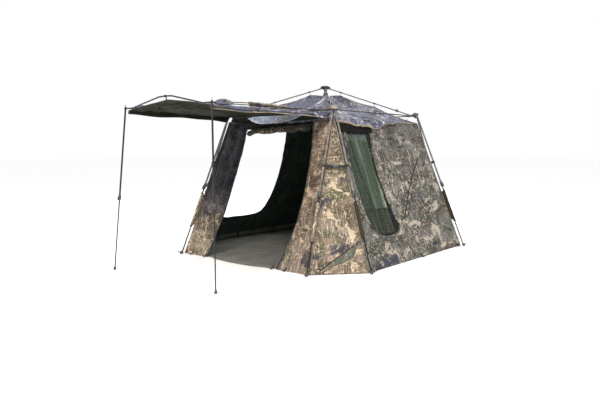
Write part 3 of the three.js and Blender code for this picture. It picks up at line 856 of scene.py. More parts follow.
def cloth_wall(side, proud=0.0, share=1.0):
    """Puts (s, z) on a wall, `proud` outside its cloth and with a share of its folds."""
    return lambda s, z: wall_point(side, s, z, proud + share * wall_relief(side, s, z))


def upright(place):
    """The foot and the head of an edge of a wall part, where place(z) is its s."""
    return [(place(z), z) for z in (WALL_LOW, WALL_TOP)]


def between(left, right):
    """The outline between two uprights."""
    return [left[0], right[0], right[1], left[1]]


def wall_carrier(side, end):
    """The leg body that a wall part rides on, with a direction and a point towards that leg."""
    leg = leg_name(ENDS[side][end], side)
    return f"leg_{leg}", (wall_normal(side).cross(leg_up(leg)), leg_point(leg, 0.9))


def add_wall(name, side, end, outline, material, node, holes=(), step=STEP):
    carrier = wall_carrier(side, end)
    rest = [carrier, (material, LINING), "stretched", [f"upper_{carrier[0]}"], [node]]
    add_patch(name, outline, step, cloth_wall(side), *rest, holes=holes)


LOW_SEAM, HIGH_SEAM = upright(lambda z: -edge_at(z)), upright(edge_at)
RIGHT_CUT, BACK_CUT = upright(lambda z: RIGHT_SPLIT), upright(lambda z: 0.0)
DOOR_CUT = [(0.0, WALL_TOP), (0.0, DOOR_HEAD)]
front_left = [LOW_SEAM[0], *DOOR_LEFT_EDGE, *reversed(DOOR_CUT), LOW_SEAM[1]]
front_right = [DOOR_RIGHT_EDGE[-1], *HIGH_SEAM, *DOOR_CUT, *DOOR_RIGHT_EDGE[:-1]]
# Both parts of the front wall take prints with painted shade towards the top
add_wall("front_cloth_left", "front", 0, front_left, SHADED, "front_wall_left", step=DRAPE_STEP)
add_wall("front_cloth_right", "front", 1, front_right, DRAPED_SHADE, "front_wall_right", step=DRAPE_STEP)
window_part = between(LOW_SEAM, RIGHT_CUT)
add_wall("right_cloth_window", "right", 0, window_part, RIGHT_WALL_SHADE, "right_wall_window", [WINDOW])
add_wall("right_cloth_rear", "right", 1, between(RIGHT_CUT, HIGH_SEAM), RIGHT_WALL_SHADE, "right_wall_rear")
add_wall("back_cloth_right", "back", 0, between(LOW_SEAM, BACK_CUT), LAND, "back_wall")
add_wall("back_cloth_left", "back", 1, between(BACK_CUT, HIGH_SEAM), LAND, "back_wall")

# The left wall is cut at the middle of its opening, so that each part rides on its own leg
LEFT_CUT = 0.285


def opening_part(way):
    """The opening's edge behind (-1) or in front of (1) the cut, from the bottom up."""
    part = [p for p in resample(SIDE_OPENING, 0.02) if (p[0] - LEFT_CUT) * way > 0]
    part.sort(key=lambda p: math.atan2(p[1] - 0.95, abs(p[0] - LEFT_CUT) + 0.02))
    return [(LEFT_CUT, SILL), *part, (LEFT_CUT, OPENING_TOP)]


rear_edge, front_edge = opening_part(-1), opening_part(1)
left_low, left_high = upright(lambda z: LEFT_CUT)
left_rear = [LOW_SEAM[0], left_low, *rear_edge, left_high, LOW_SEAM[1]]
left_front = [left_low, *HIGH_SEAM, left_high, *reversed(front_edge)]
add_wall("left_cloth_rear", "left", 0, left_rear, LAND, "left_wall")
add_wall("left_cloth_front", "left", 1, left_front, LAND, "left_wall")


# ---- Panels between the two legs of a corner ----

CORNER_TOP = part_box("corner_panel_front_right")[1].z


def corner_edges(corner, z):
    first, second = CORNER_SIDES[corner]
    return wall_point(first, edge_at(z), z), wall_point(second, -edge_at(z), z)


def corner_half(z):
    first, second = corner_edges("front_right", z)
    return (second - first).length / 2


def corner_relief(corner, u, z):
    calm = smooth(corner_half(z) - abs(u), 0.0, 0.07)
    seed = 60.0 + 7 * list(CORNERS).index(corner)
    proud = 0.012 * ripple(u, z * 0.5, seed, 3.0) + 0.005 * ripple(u - 0.5 * z, z, seed + 2, 8.0)
    proud += 0.0025 * ripple(u, z, seed + 4, 19.0)
    for end in (-1, 1):
        proud += crease(u - end * corner_half(0), z, 9, 0.12, 0.006, end)
    return proud * calm * (0.3 + 0.7 * smooth(z, 0.0, 0.2))


def corner_way(corner):
    return Vector((*CORNERS[corner], 0)).normalized()


def corner_place(corner, lift=0.0):
    def place(u, z):
        first, second = corner_edges(corner, z)
        share = 0.5 + u / (2 * corner_half(z))
        return first.lerp(second, share) + corner_way(corner) * (lift + corner_relief(corner, u, z))
    return place


def corner_carrier(corner):
    """A corner panel rides on the leg in its front or back wall; with the body go a direction and a point on
    that leg.
    """
    leg = leg_name(corner, corner.split("_")[0])
    return f"leg_{leg}", (corner_way(corner).cross(leg_up(leg)).normalized(), leg_point(leg, 0.9))


for corner in CORNERS:
    left, right = ([(end * corner_half(z), z) for z in (WALL_LOW, CORNER_TOP)] for end in (-1, 1))
    carrier = corner_carrier(corner)
    rest = [carrier, (LAND, LINING), "stretched", [f"upper_{carrier[0]}"], [f"corner_panel_{corner}"]]
    add_patch(f"corner_cloth_{corner}", between(left, right), STEP, corner_place(corner), *rest)


# ---- Roof ----

# How far the ridge hangs below its arm, at distances from the hub
RIDGE_HANG = ((0.0, 0.103), (0.21, 0.046), (0.44, 0.058), (0.67, 0.046), (0.90, 0.076), (1.12, 0.087))
HOOKS = (RIDGE_HANG[1][0], RIDGE_HANG[3][0])  # the distances of the straps that hold it up
TIP = RIDGE_HANG[5][0]
RIDGE_END = ROOF_EDGE * math.sqrt(2)
ROOF_SAG = 0.022
# How deep the brim hangs below the eave, at places along each side
WINDOW_BRIM = ((-0.77, 0.050), (-0.51, 0.086), (-0.31, 0.100), (-0.12, 0.122), (0.10, 0.052))
BRIM = {
    "front": ((-0.89, 0.030), (-0.55, 0.045), (-0.15, 0.060), (0.30, 0.058), (0.70, 0.046), (0.89, 0.034)),
    "right": ((-0.89, 0.052), *WINDOW_BRIM, (0.45, 0.020), (0.89, 0.018)),
    "back": ((-0.89, 0.030), (0.0, 0.045), (0.89, 0.030)),
    "left": ((-0.89, 0.018), (-0.10, 0.052), (0.12, 0.122), (0.51, 0.086), (0.77, 0.050), (0.89, 0.052)),
}


def along_table(table, value):
    """A value read from a list of (place, value), smooth between its rows."""
    for (x0, y0), (x1, y1) in zip(table, table[1:]):
        if value <= x1:
            return y0 + (y1 - y0) * smooth(value, x0, x1)
    return table[-1][1]


def ridge_height(reach):
    if reach < TIP:
        return arm_height(reach) - along_table(RIDGE_HANG, reach)
    last = arm_height(TIP) - RIDGE_HANG[-1][1]
    return last + (ROOF_LOW - last) * min((reach - TIP) / (RIDGE_END - TIP), 1)


def roof_relief(side, s, out):
    seed = 100.0 + 10 * list(SIDES).index(side)
    share = min(abs(s) / max(out, 0.001), 1.0)
    calm = (1 - share ** 5) * smooth(out, 0.0, 0.25)
    proud = 0.020 * ripple(s, out, seed, 3.0) + 0.009 * ripple(s + out, out, seed + 2, 8.0)
    proud += 0.0035 * ripple(s, out, seed + 4, 20.0)
    for reach in HOOKS:
        held = reach / math.sqrt(2)
        proud += crease(abs(s) - held, out - held, 8, 0.12, 0.010, reach)
    return proud * calm


def brim_point(side, s, fall):
    wave = 0.5 + 0.5 * math.sin(s * 13 + 2 * ripple(s, 0.0, 140.0, 3.0))
    proud = 0.013 * smooth(fall, 0.0, 0.03) + 0.022 * wave * smooth(fall, 0.02, 0.10)
    return wall_point(side, s, ROOF_LOW - 0.94 * fall, proud)


def roof_place(side):
    """Puts (s, back) on a side of the roof, where back runs from the eave to the hub."""
    along, outward = SIDES[side]
    top = ridge_height(0.0)

    def place(s, back):
        out = -back
        if out > ROOF_EDGE:
            return brim_point(side, s, out - ROOF_EDGE)
        share = min(abs(s) / max(out, 0.0001), 1.0)
        ridge = ridge_height(out * math.sqrt(2))
        middle = top + (ROOF_LOW - top) * out / ROOF_EDGE - ROOF_SAG * math.sin(math.pi * out / ROOF_EDGE)
        height = middle + (ridge - middle) * share ** 1.7
        height += roof_relief(side, s, out) * smooth(ROOF_EDGE - out, 0, 0.05)
        return along * s + outward * out + UP * height
    return place


def roof_carrier(side, end):
    """Half a side of the roof rides on the arm at its end; with it go a direction and a point on the ridge
    under that arm.
    """
    along, outward = SIDES[side]
    ridge_middle = (outward + along * (1 if end else -1)) * (ROOF_EDGE / 2)
    ridge_middle += UP * ridge_height(ROOF_EDGE / math.sqrt(2))
    middle = outward * ROOF_EDGE + UP * ROOF_LOW
    return f"arm_{ENDS[side][end]}", ((middle - ridge_middle).normalized(), ridge_middle)


def brim_line(side, sign, steps=30):
    line = []
    for s in (sign * ROOF_EDGE * index / steps for index in range(steps + 1)):
        flutter = 0.006 * math.sin(s * 31 + 5 * ripple(s, 0.0, 150.0, 2.0))
        line.append((s, -(ROOF_EDGE + along_table(BRIM[side], s) + flutter)))
    return line


def brim_roll(side, s):
    """Radius of the brim's hem, which is bunched up over the window and the side opening."""
    if side == "left":
        s = -s
    bunched = smooth(-s, 0.10, 0.30) if side in ("right", "left") else 0.0
    return 0.0042 + bunched * (0.0075 + 0.0035 * math.sin(s * 37) + 0.002 * math.sin(s * 71))


def add_roof(side, end):
    half, sign, corner = ("high" if end else "low"), (1 if end else -1), ENDS[side][end]
    brim = brim_line(side, sign)
    outline = [(0.0, -0.001), *brim, (sign * ROOF_EDGE, -ROOF_EDGE)]
    eave = [(0.001 * sign, -ROOF_EDGE), (sign * (ROOF_EDGE - 0.01), -ROOF_EDGE)]
    place, carrier = roof_place(side), roof_carrier(side, end)
    rest = [carrier, (ROOF, LINING), "hung", [f"roof_arm_{corner}"], [f"roof_quarter_{corner}"]]
    add_patch(f"roof_cloth_{side}_{half}", outline[::sign], STEP, place, *rest, creases=[eave])
    # The front brim's hem is in the dark brown cloth, as painted shade under the awning; the other hems are
    # tan
    edge = Trim(BROWN_CLOTH if side == "front" else TAN_EDGE)
    hem = resample(brim, 0.02, closed=False)
    edge.tube([place(*p) for p in hem], [brim_roll(side, p[0]) for p in hem], sides=8)
    edge.build(f"brim_edge_{side}_{half}", *carrier)


for side in SIDES:
    add_roof(side, 0)
    add_roof(side, 1)


# ---- Groundsheet ----

DOORSTEP = 1.462
FLOOR_EDGE = WALL_FOOT - 0.006
FLOOR_STEP = 0.05
floor_outline = [
    (-EDGE_FOOT, -FLOOR_EDGE),
    *curves((-0.64, -DOORSTEP), ((-0.03, -1.635), (0.56, -DOORSTEP))),
    (0.56, -DOORSTEP),
    (EDGE_FOOT, -FLOOR_EDGE),
    (FLOOR_EDGE, -EDGE_FOOT),
    (FLOOR_EDGE, EDGE_FOOT),
    (EDGE_FOOT, FLOOR_EDGE),
    (-EDGE_FOOT, FLOOR_EDGE),
    (-FLOOR_EDGE, EDGE_FOOT),
    (-FLOOR_EDGE, -EDGE_FOOT),
]


def floor_place(x, y):
    lift = 0.004 + 0.004 * ripple(x, y * 0.4, 200.0, 2.2) + 0.002 * ripple(x, y, 203.0, 7.0)
    lift += 0.0025 * smooth(abs(math.sin(3.3 * x + 0.4)), 0.97, 1.0)
    return Vector((x, y, 0.0025 + max(lift, 0.0)))


floor_rest = [("ground", (X, Vector())), (FLOOR_CLOTH, FLOOR_CLOTH), "laid", ["groundsheet"], ["groundsheet"]]
add_patch("floor_sheet", floor_outline, FLOOR_STEP, floor_place, *floor_rest)


# ---- Window, side opening and door trims ----


def wall_line(side, path, lift, share=1.0):
    place = cloth_wall(side, lift, share)
    return [place(*p) for p in resample(path, TRIM_STEP, closed=False)]


def wall_ribbon(trim, side, path, width, lift=0.004, thickness=0.0016, slot=0, share=1.0):
    """A tape sewn to a wall along a path of (s, z)."""
    trim.ribbon(wall_line(side, path, lift, share), wall_normal(side), width, thickness, slot)


def wall_piping(trim, side, path, radius, lift=0.002, share=1.0):
    trim.tube(wall_line(side, path, lift, share), radius, 0, 8)


CURTAIN_SEAM, CURTAIN_BAND, CURTAIN_HEAD = 0.630, 1.415, 1.50
CURTAIN_BACK = 0.035  # the curtain hangs this far inside the net
WINDOW_CARRIER = wall_carrier("right", 0)
ON_WINDOW = ["right_cloth_window"]


def curtain_place(s, z):
    """The curtain hangs in soft upright folds, gathered at the sill."""
    fold = 0.020 * math.sin(2 * math.pi * (s + 0.06 * z) / 0.115 + 1.7 * ripple(s, z, 301.0, 1.6))
    fold += 0.009 * math.sin(2 * math.pi * s / 0.047 + 2.2 * ripple(s, z, 305.0, 2.2))
    fold += 0.006 * ripple(s, z, 309.0, 9.0)
    return wall_point("right", s, z, -CURTAIN_BACK + fold * (0.4 + 0.6 * smooth(z, SILL, 0.75)))


def curtain_edge(z):
    """The curtain stops short of the window's rear edge, where the dark of the cabin shows."""
    rear = edge_s([*curves(WINDOW_HEEL, WINDOW_REAR), WINDOW_REAR[1]], z)
    return rear - 0.035 - 0.05 * (1 - smooth(z, 0.40, 0.80)) - 0.02 * smooth(z, 1.3, 1.5)


def add_curtain(name, low, high, material):
    heights = [low + (high - low) * i / 12 for i in range(13)]
    outline = [(curtain_edge(z), z) for z in heights]
    outline += [(max(-0.96, 0.045 - edge_at(z)), z) for z in reversed(heights)]
    rest = [WINDOW_CARRIER, (material, material), "hung", ON_WINDOW]
    add_patch(name, outline, 0.02, curtain_place, *rest, thick=0.001)


add_curtain("window_curtain_head", CURTAIN_BAND, 1.525, CURTAIN_HIGH)
add_curtain("window_curtain", CURTAIN_SEAM, CURTAIN_BAND, CURTAIN)
add_curtain("window_curtain_foot", 0.345, CURTAIN_SEAM, CURTAIN_LOW)

net_rest = [WINDOW_CARRIER, (NET, NET), "stretched", ON_WINDOW, ["window_mesh"]]
net_place = cloth_wall("right", -0.006, 0.6)
net = add_patch("window_net", grown(WINDOW, 0.004), STEP, net_place, *net_rest, thick=0.0006)

HEAD_TOP = WALL_TOP - 0.01
# The window's head: a near-black sheet that paints the shade under the brim
head_outline = [(-0.900, CURTAIN_HEAD), (-0.244, CURTAIN_HEAD), (-0.244, HEAD_TOP), (-0.880, HEAD_TOP)]
head_rest = [WINDOW_CARRIER, (SHADOW_CLOTH, LINING), "stretched", ON_WINDOW]
add_patch("window_head", head_outline, STEP, cloth_wall("right", 0.0085), *head_rest, thick=THIN_CLOTH)

trim = Trim(WEBBING, RIGHT_WALL_SHADE)
window_ring = WINDOW + WINDOW[:1]
curtain_zip = [(-0.720, CURTAIN_HEAD), (-0.705, 1.20), (-0.665, 0.90), (-0.610, CURTAIN_SEAM)]
curtain_rail = [(-0.93, CURTAIN_HEAD), (-0.30, CURTAIN_HEAD)]
curtain_seam = [(-0.955, CURTAIN_SEAM), (-0.40, CURTAIN_SEAM)]
wall_ribbon(trim, "right", grown(window_ring, 0.012), 0.022, slot=1)
wall_piping(trim, "right", window_ring, 0.0028, 0.003)
wall_ribbon(trim, "right", curtain_rail, 0.030, 0.020 - CURTAIN_BACK, share=0)
wall_piping(trim, "right", curtain_seam, 0.003, 0.016 - CURTAIN_BACK, share=0)
wall_piping(trim, "right", curtain_zip, 0.0050, 0.024 - CURTAIN_BACK, share=0)
for s, z in ((-0.405, 0.86), (-0.88, 1.42), (-0.80, 0.46)):
    trim.bar(wall_point("right", s, z, 0.010), UP * 0.022, 0.004, 0, 8)
trim.build("window_trim", *WINDOW_CARRIER, "plastic")

ZIP = [(0.66, 1.205), (0.40, 0.985), (0.19, 0.765), (0.015, 0.575), (-0.085, 0.465)]
ZIP_TAIL = [(-0.100, 0.440), (-0.02, 0.30), (0.02, 0.15), (0.03, 0.02)]
trim = Trim(WEBBING, RIGHT_WALL_SHADE)
wall_ribbon(trim, "right", ZIP, 0.018)
wall_ribbon(trim, "right", [(s + 0.016, z - 0.016) for s, z in ZIP], 0.030, slot=1)
wall_piping(trim, "right", ZIP_TAIL, 0.003)
trim.build("zip_right_wall", *wall_carrier("right", 1), "plastic")

# The split between the two parts of the right wall is a covered seam
trim = Trim(RIGHT_WALL_SHADE)
wall_ribbon(trim, "right", [(RIGHT_SPLIT, 0.02), (RIGHT_SPLIT, WALL_TOP - 0.03)], 0.016, 0.0025)
trim.build("seam_right_wall", *WINDOW_CARRIER)

for name, end, edge in (("front", 1, front_edge), ("rear", 0, rear_edge)):
    trim = Trim(WEBBING)
    wall_ribbon(trim, "left", edge, 0.026, 0.002, 0.008)
    wall_piping(trim, "left", edge, 0.005, -0.001)
    trim.build(f"opening_binding_{name}", *wall_carrier("left", end), "plastic")

for name, end, inward in (("left", 0, 0.030), ("right", 1, -0.030)):
    trim = Trim(WEBBING)
    wall_ribbon(trim, "front", DOOR_EDGES[name], 0.016, 0.001, 0.006)
    wall_piping(trim, "front", [(s - inward, z) for s, z in DOOR_EDGES[name]], 0.0022)
    trim.build(f"door_binding_{name}", *wall_carrier("front", end), "plastic")

# The doorway's head: near-black cloth that paints the shade behind the rolled door, under the awning
HEAD_FOOT = DOOR_HEAD - 0.006
for name, end, low, high in (("left", 0, -0.530, 0.0), ("right", 1, 0.0, 0.612)):
    outline = [(low, HEAD_FOOT), (high, HEAD_FOOT), (high, HEAD_TOP), (low, HEAD_TOP)]
    rest = [wall_carrier("front", end), (SHADE_BLACK_CLOTH, LINING), "stretched", [f"front_cloth_{name}"]]
    add_patch(f"door_head_{name}", outline, STEP, cloth_wall("front", 0.004), *rest, thick=THIN_CLOTH)


# ---- Rolled-up door ----

ROLL_LOW, ROLL_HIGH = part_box("door_roll")
ROLL_MIDDLE = (ROLL_LOW + ROLL_HIGH) / 2
ROLL_TURNS = 6
ROLL_INNER = 0.007
ROLL_OUTER = (ROLL_HIGH.z - ROLL_LOW.z) / 2 - 0.001
ROLL_LENGTH = math.pi * ROLL_TURNS * (ROLL_OUTER + ROLL_INNER)
ROLL_TIES = (-0.28, 0.08, 0.46)
ROLL_COLUMNS, ROLL_ROWS = 52, 120


def tie_gap(x):
    return min(abs(x - tie) for tie in ROLL_TIES)


def roll_middle(x):
    """The roll sags between its ties and droops at its free end."""
    droop = 0.010 * smooth(tie_gap(x), 0.0, 0.18) + 0.022 * smooth(-0.30 - x, 0.0, 0.14)
    y = ROLL_MIDDLE.y - 0.011 * smooth(x, -0.32, 0.20)
    return Vector((x, y, ROLL_MIDDLE.z - droop + 0.026 * smooth(x, -0.30, 0.50)))


def roll_place(x, run):
    """A point of the rolled cloth: x along the roll, run from its core to its outside."""
    share = min(max(run / ROLL_LENGTH, 0.0), 1.0)
    radius = math.sqrt(ROLL_INNER ** 2 + (ROLL_OUTER ** 2 - ROLL_INNER ** 2) * share)
    turn = 2 * math.pi * ROLL_TURNS * (radius - ROLL_INNER) / (ROLL_OUTER - ROLL_INNER) + 2.2
    y, z = math.cos(turn), math.sin(turn)
    squeeze = 0.78 + 0.22 * smooth(tie_gap(x), 0.0, 0.07)
    lump = 1 + 0.34 * noise.noise(Vector((x * 7, y * 0.9, z * 0.9))) * share
    lump += 0.16 * noise.noise(Vector((x * 19, y * 1.6, z * 1.6 + 5))) * share
    reach = radius * squeeze * lump * (1 + 0.34 * smooth(x, -0.32, 0.20))
    return roll_middle(x) + Vector((0, y, z)) * reach


roll_flat = [
    (ROLL_LOW.x + (ROLL_HIGH.x - ROLL_LOW.x) * i / ROLL_COLUMNS, ROLL_LENGTH * j / ROLL_ROWS)
    for j in range(ROLL_ROWS + 1)
    for i in range(ROLL_COLUMNS + 1)
]
roll_carrier = wall_carrier("front", 1)
roll_rest = [roll_carrier, (LINING, ROLLED_SHADE), "folded", ["front_cloth_right"], ["door_roll"], THIN_CLOTH]
add_cloth("door_rolled", roll_flat, grid_faces(ROLL_COLUMNS, ROLL_ROWS), roll_place, *roll_rest)
trim = Trim(WEBBING, PLASTIC)
for tie in ROLL_TIES:
    centre = roll_middle(tie)
    ring = trim.loop(centre, (Y, UP), ROLL_OUTER * 0.86, 0.020, 0.0022, count=20)
    trim.ribbon([centre + Y * 0.028, wall_point("front", tie, 1.61, -0.002)], -Y, 0.018)
    trim.bar(ring[15], X * 0.016, 0.0045, 1)  # the toggle, under the roll
trim.build("door_ties", *roll_carrier, "plastic")


# ---- Valance over the doorway ----

CANOPY_LOW, CANOPY_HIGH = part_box("awning_canopy")
AWNING_FRONT, AWNING_BACK = CANOPY_LOW.y, CANOPY_HIGH.y
VALANCE_TOP = 1.715
VALANCE_OUTLINE = curves(
    (-0.51, 1.700),
    ((-0.34, 1.640), (-0.22, 1.622)),
    ((0.14, 1.618), (0.26, 1.640)),
    ((0.36, 1.668), (0.42, 1.708)),
    ((0.10, 1.716), (-0.20, 1.714)),
    ((-0.42, 1.718), (-0.51, 1.700)),
)


def valance_place(s, z):
    """It leans out from the eave, over the rolled door and clear of the awning when that swings."""
    wave = 0.008 * math.sin(s * 23) + 0.006 * ripple(s, z, 330.0, 9.0)
    fall = VALANCE_TOP - z
    return Vector((s, AWNING_BACK + 0.006 - 0.95 * fall + wave * smooth(fall, 0.0, 0.08), z))


# Its print carries painted daylight, painted shade and a painted glow
valance_rest = [roof_carrier("front", 1), (VALANCE, LINING), "hung", ["front_eave_bar_right"]]
add_patch("door_valance", VALANCE_OUTLINE, 0.02, valance_place, *valance_rest)


# ---- Awning ----

BACK_HALF, FRONT_HALF = 0.850, 0.692
BACK_Z, PEAK_Z = 1.722, CANOPY_HIGH.z
SIDE_RISE = 0.004
HEM = 0.046
HEM_SETBACK = 0.058  # the hem's rear end slants, to swing clear of the wall
CANOPY_LENGTH = 1.5  # about, for the folds' own scale
CANOPY_COLUMNS, CANOPY_ROWS, HEM_COLUMNS = 56, 44, 3


def canopy_column(index):
    """Where a column of cloth points lies: from -1 to 1 across the canopy, and how far down its hem."""
    middle = index - HEM_COLUMNS
    across = middle / CANOPY_COLUMNS * 2 - 1
    if across < -1:
        return -1.0, (HEM_COLUMNS - index) / HEM_COLUMNS
    if across > 1.0001:
        return 1.0, (middle - CANOPY_COLUMNS) / HEM_COLUMNS
    return across, 0.0


def canopy_half(share):
    return BACK_HALF + (FRONT_HALF - BACK_HALF) * share


def canopy_folds(across, share):
    """Creases that fan out from the front bar's crown and from the canopy's corners."""
    half = canopy_half(share)
    ahead, behind = (1 - share) * CANOPY_LENGTH, share * CANOPY_LENGTH
    fan = crease(across * half, ahead, 22, 0.38, 0.008, 0.4)
    fan += crease((abs(across) - 1) * half, ahead, 14, 0.20, 0.006, 1.0)
    fan += crease((abs(across) - 1) * half, behind, 12, 0.20, 0.005, 2.0)
    fan *= smooth(1 - share, 0.0, 0.06) * smooth(share, 0.0, 0.06) * smooth(1 - abs(across), 0.0, 0.08)
    return fan + 0.006 * ripple(across * half, behind, 400.0, 4.0) * (1 - across ** 4)


def canopy_point(across, hem, share):
    """A point of the canopy: share runs from the eave to the front bar."""
    ridge = BACK_Z + (PEAK_Z - BACK_Z) * share
    side = BACK_Z + SIDE_RISE * share
    z = ridge + (side - ridge) * abs(across) ** 1.25
    z -= 0.022 * math.sin(math.pi * share) * (1 - across ** 2)
    z += 0.018 * math.sin(math.pi * share) * math.exp(-((abs(across) - 0.72) / 0.14) ** 2)
    z += canopy_folds(across, share)
    drop = HEM * (0.80 + 0.12 * math.sin(share * 9 + 1) + 0.08 * math.cos(share * 17))
    drop += 0.018 * (1 - share) ** 1.3
    scallop = 0.035 * (1 - across ** 2) * abs(across) ** 0.5 * smooth(share, 0.75, 1.0)
    y = AWNING_BACK + (AWNING_FRONT - AWNING_BACK) * share + scallop
    y -= HEM_SETBACK * hem * (1 - smooth(share, 0.0, 0.14))
    flutter = 0.005 * math.sin(share * 24) + 0.004 * ripple(share, 0, 410.0, 6.0)
    x = across * canopy_half(share) + math.copysign(0.010 + flutter, across) * hem
    return Vector((x, y, z - drop * hem))


canopy_points = {}
canopy_width = CANOPY_COLUMNS + 2 * HEM_COLUMNS
for share in (1 - row / CANOPY_ROWS for row in range(CANOPY_ROWS + 1)):
    for across_share, hem in map(canopy_column, range(canopy_width + 1)):
        flat_x = across_share * canopy_half(share) + math.copysign(hem * HEM, across_share)
        flat_y = AWNING_FRONT * share + AWNING_BACK * (1 - share)
        canopy_points[(flat_x, flat_y)] = canopy_point(across_share, hem, share)

add_cloth(
    "awning_cloth",
    list(canopy_points),
    grid_faces(canopy_width, CANOPY_ROWS),
    lambda x, y: canopy_points[(x, y)],
    ("awning", None),
    (ROOF, AWNING_LINING),
    "stretched",
    ["awning_front_bar", "awning_side_rod_right", "awning_side_rod_left"],
    ["awning_canopy"],
)

FLAP_DROP = 0.136
FLAP_TOP = 1.730
FLAP_BACK = -ROOF_EDGE - 0.009


def flap_place(x, drop):
    """A dark flap closes the eave behind the canopy's rear edge, from the bar to the doorway's head:
    near-black cloth that paints the shade under the awning.
    """
    wave = 0.004 * math.sin(x * 19) + 0.006 * ripple(x, drop, 420.0, 6.0)
    out = 0.056 * smooth(drop, 0.025, 0.105) + wave * smooth(drop, 0.03, 0.08)
    return Vector((x, FLAP_BACK - out, FLAP_TOP - drop))


for name, end, sign, half, depth in (("left", 0, -1, "low", FLAP_DROP), ("right", 1, 1, "high", 0.085)):
    outer = sign * (BACK_HALF - 0.010)
    outline = [(0.0, 0.0), (outer, 0.0), (outer - sign * 0.01, 0.061), (sign * 0.45, depth), (0.0, 0.085)]
    rest = [roof_carrier("front", end), (SHADE_BLACK_CLOTH, SHADE_BLACK_CLOTH), "hung", [f"roof_cloth_front_{half}"]]
    add_patch(f"eave_flap_{name}", outline[::-sign], 0.025, flap_place, *rest, thick=THIN_CLOTH)

trim = Trim(TAN_EDGE, WEBBING, ROOF)
shares = [i / 40 for i in range(41)]
for sign in (-1, 1):
    trim.tube([canopy_point(sign, 1.0, t) for t in shares], 0.0035, 0 if sign > 0 else 1, 8)
    trim.tube([canopy_point(sign, 0.02, t) + UP * 0.002 for t in shares], 0.004, 2, 8)
    trim.tube([canopy_point(sign, 0.62, t) for t in shares], 0.0048, 1, 8)
    line = [canopy_point(sign * 0.999, 0.0, t) - UP * 0.004 - X * (sign * 0.03) for t in shares]
    trim.ribbon(line, UP, 0.018, 0.0016, 1)
front_line = [canopy_point(i / 20 - 1, 0.0, 1.0) for i in range(41)]
trim.tube(front_line, 0.004, 1, 8)
trim.ribbon([p + Vector((0, 0.03, -0.003)) for p in front_line], UP, 0.022, 0.0014, 1)
WASHER = [(-0.004, 0.020), (-0.002, 0.024), (0.001, 0.024), (0.002, 0.016)]
for place_across in (-0.62, 0.80):
    trim.knob(canopy_point(place_across, 0.0, 0.86) - UP * 0.004, UP, WASHER, 1, 20)

# The strap that holds the canopy's peak up to the bent bar, and its two side straps
BAR_LOW, BAR_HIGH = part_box("awning_front_bar")
BAR_RADIUS = 0.008
crown = Vector((0, (BAR_LOW.y + BAR_HIGH.y) / 2, BAR_HIGH.z - BAR_RADIUS))
peak = canopy_point(0, 0, 1.0)
trim.ribbon([peak + UP * 0.001, (peak + crown) / 2 + X * 0.006, crown], Y, 0.020, 0.0018, 1)
trim.loop(crown, (Y, UP), BAR_RADIUS + 0.0025, 0.022, 0.002, 1, 14)
for strap in (-0.60, 0.60):
    on_bar = Vector((strap, crown.y, BAR_LOW.z + BAR_RADIUS))
    trim.ribbon([on_bar, canopy_point(strap / FRONT_HALF, 0, 1.0)], Y, 0.014, 0.0016, 1)
trim.build("awning_trim", "awning", None, "camo_cloth")


def arch_point(sign, share, lift=0.0):
    """The arched rod's line, from the eave to the front bar."""
    low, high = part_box("awning_arch_rod_right")
    start = Vector((0.420, high.y, BACK_Z + 0.040))
    end = Vector((0.664, low.y, 1.753))
    crown = start.lerp(end, 0.5) + UP * 0.062
    point = start.lerp(crown, share).lerp(crown.lerp(end, share), share)
    return Vector((sign * point.x, point.y, point.z + lift))


POCKET_RADIUS, POCKET_LENGTH = 0.050, 0.24


def pocket_ring(sign, share):
    """One ring of the half-round pocket that takes an arched rod's front end."""
    centre = arch_point(sign, 0.97) + Vector((sign * 0.03, POCKET_LENGTH * share, -0.012))
    swell = math.sin(math.pi * min(share * 1.02, 1)) ** 0.55 if 0 < share < 1 else 0.02
    ways = [Vector((way.x, 0, max(way.z, -0.1))) for way in circle(X, UP, 20)]
    return [centre + way * POCKET_RADIUS * swell for way in ways]


def add_sleeve(sign, name):
    """The cloth sleeve of an arched rod, gathered along it, with its web and pocket."""
    trim = Trim(LAND, ROOF, WEBBING)
    shares = [0.02 + 0.60 * i / 24 for i in range(25)]
    radii = [0.0125 + 0.0022 * math.sin(i * 1.7) + 0.002 * (i % 3 == 0) for i in range(25)]
    trim.tube([arch_point(sign, t) for t in shares], radii, 0, 12)
    trim.ribbon([arch_point(sign, t, -0.020) for t in shares], X, 0.030, 0.002, 0)
    trim.add([pocket_ring(sign, step / 12) for step in range(13)], 1)
    eye = arch_point(sign, 0.97) + Vector((sign * 0.076, 0.085, 0.012))
    trim.knob(eye, Vector((sign, 0, 0.3)), [(0, 0.010), (0.003, 0.010), (0.004, 0.006)], 2, 14)
    trim.build(f"arch_sleeve_{name}", "awning", None, "camo_cloth")


add_sleeve(1, "right")
add_sleeve(-1, "left")


# ---- Frame: materials of the CAD parts, and the small parts on them ----

FINISHES = (
    (("hub", "corner_joint"), PLASTIC),
    (("roof_arm", "upper_leg_back"), STEEL),
    (("upper_leg_front",), CAMO_STEEL),
    (("lower_leg", "front_eave", "right_eave", "back_eave", "left_eave"), LOWER_STEEL),
    (("awning_arch", "awning_side", "awning_front", "awning_pole"), LOWER_STEEL),
)
for starts, material in FINISHES:
    for node in (node for name, node in frame["nodes"].items() if name.startswith(starts)):
        if not node.material_slots:
            node.data.materials.append(material)
        for holder in node.material_slots:
            holder.material = material

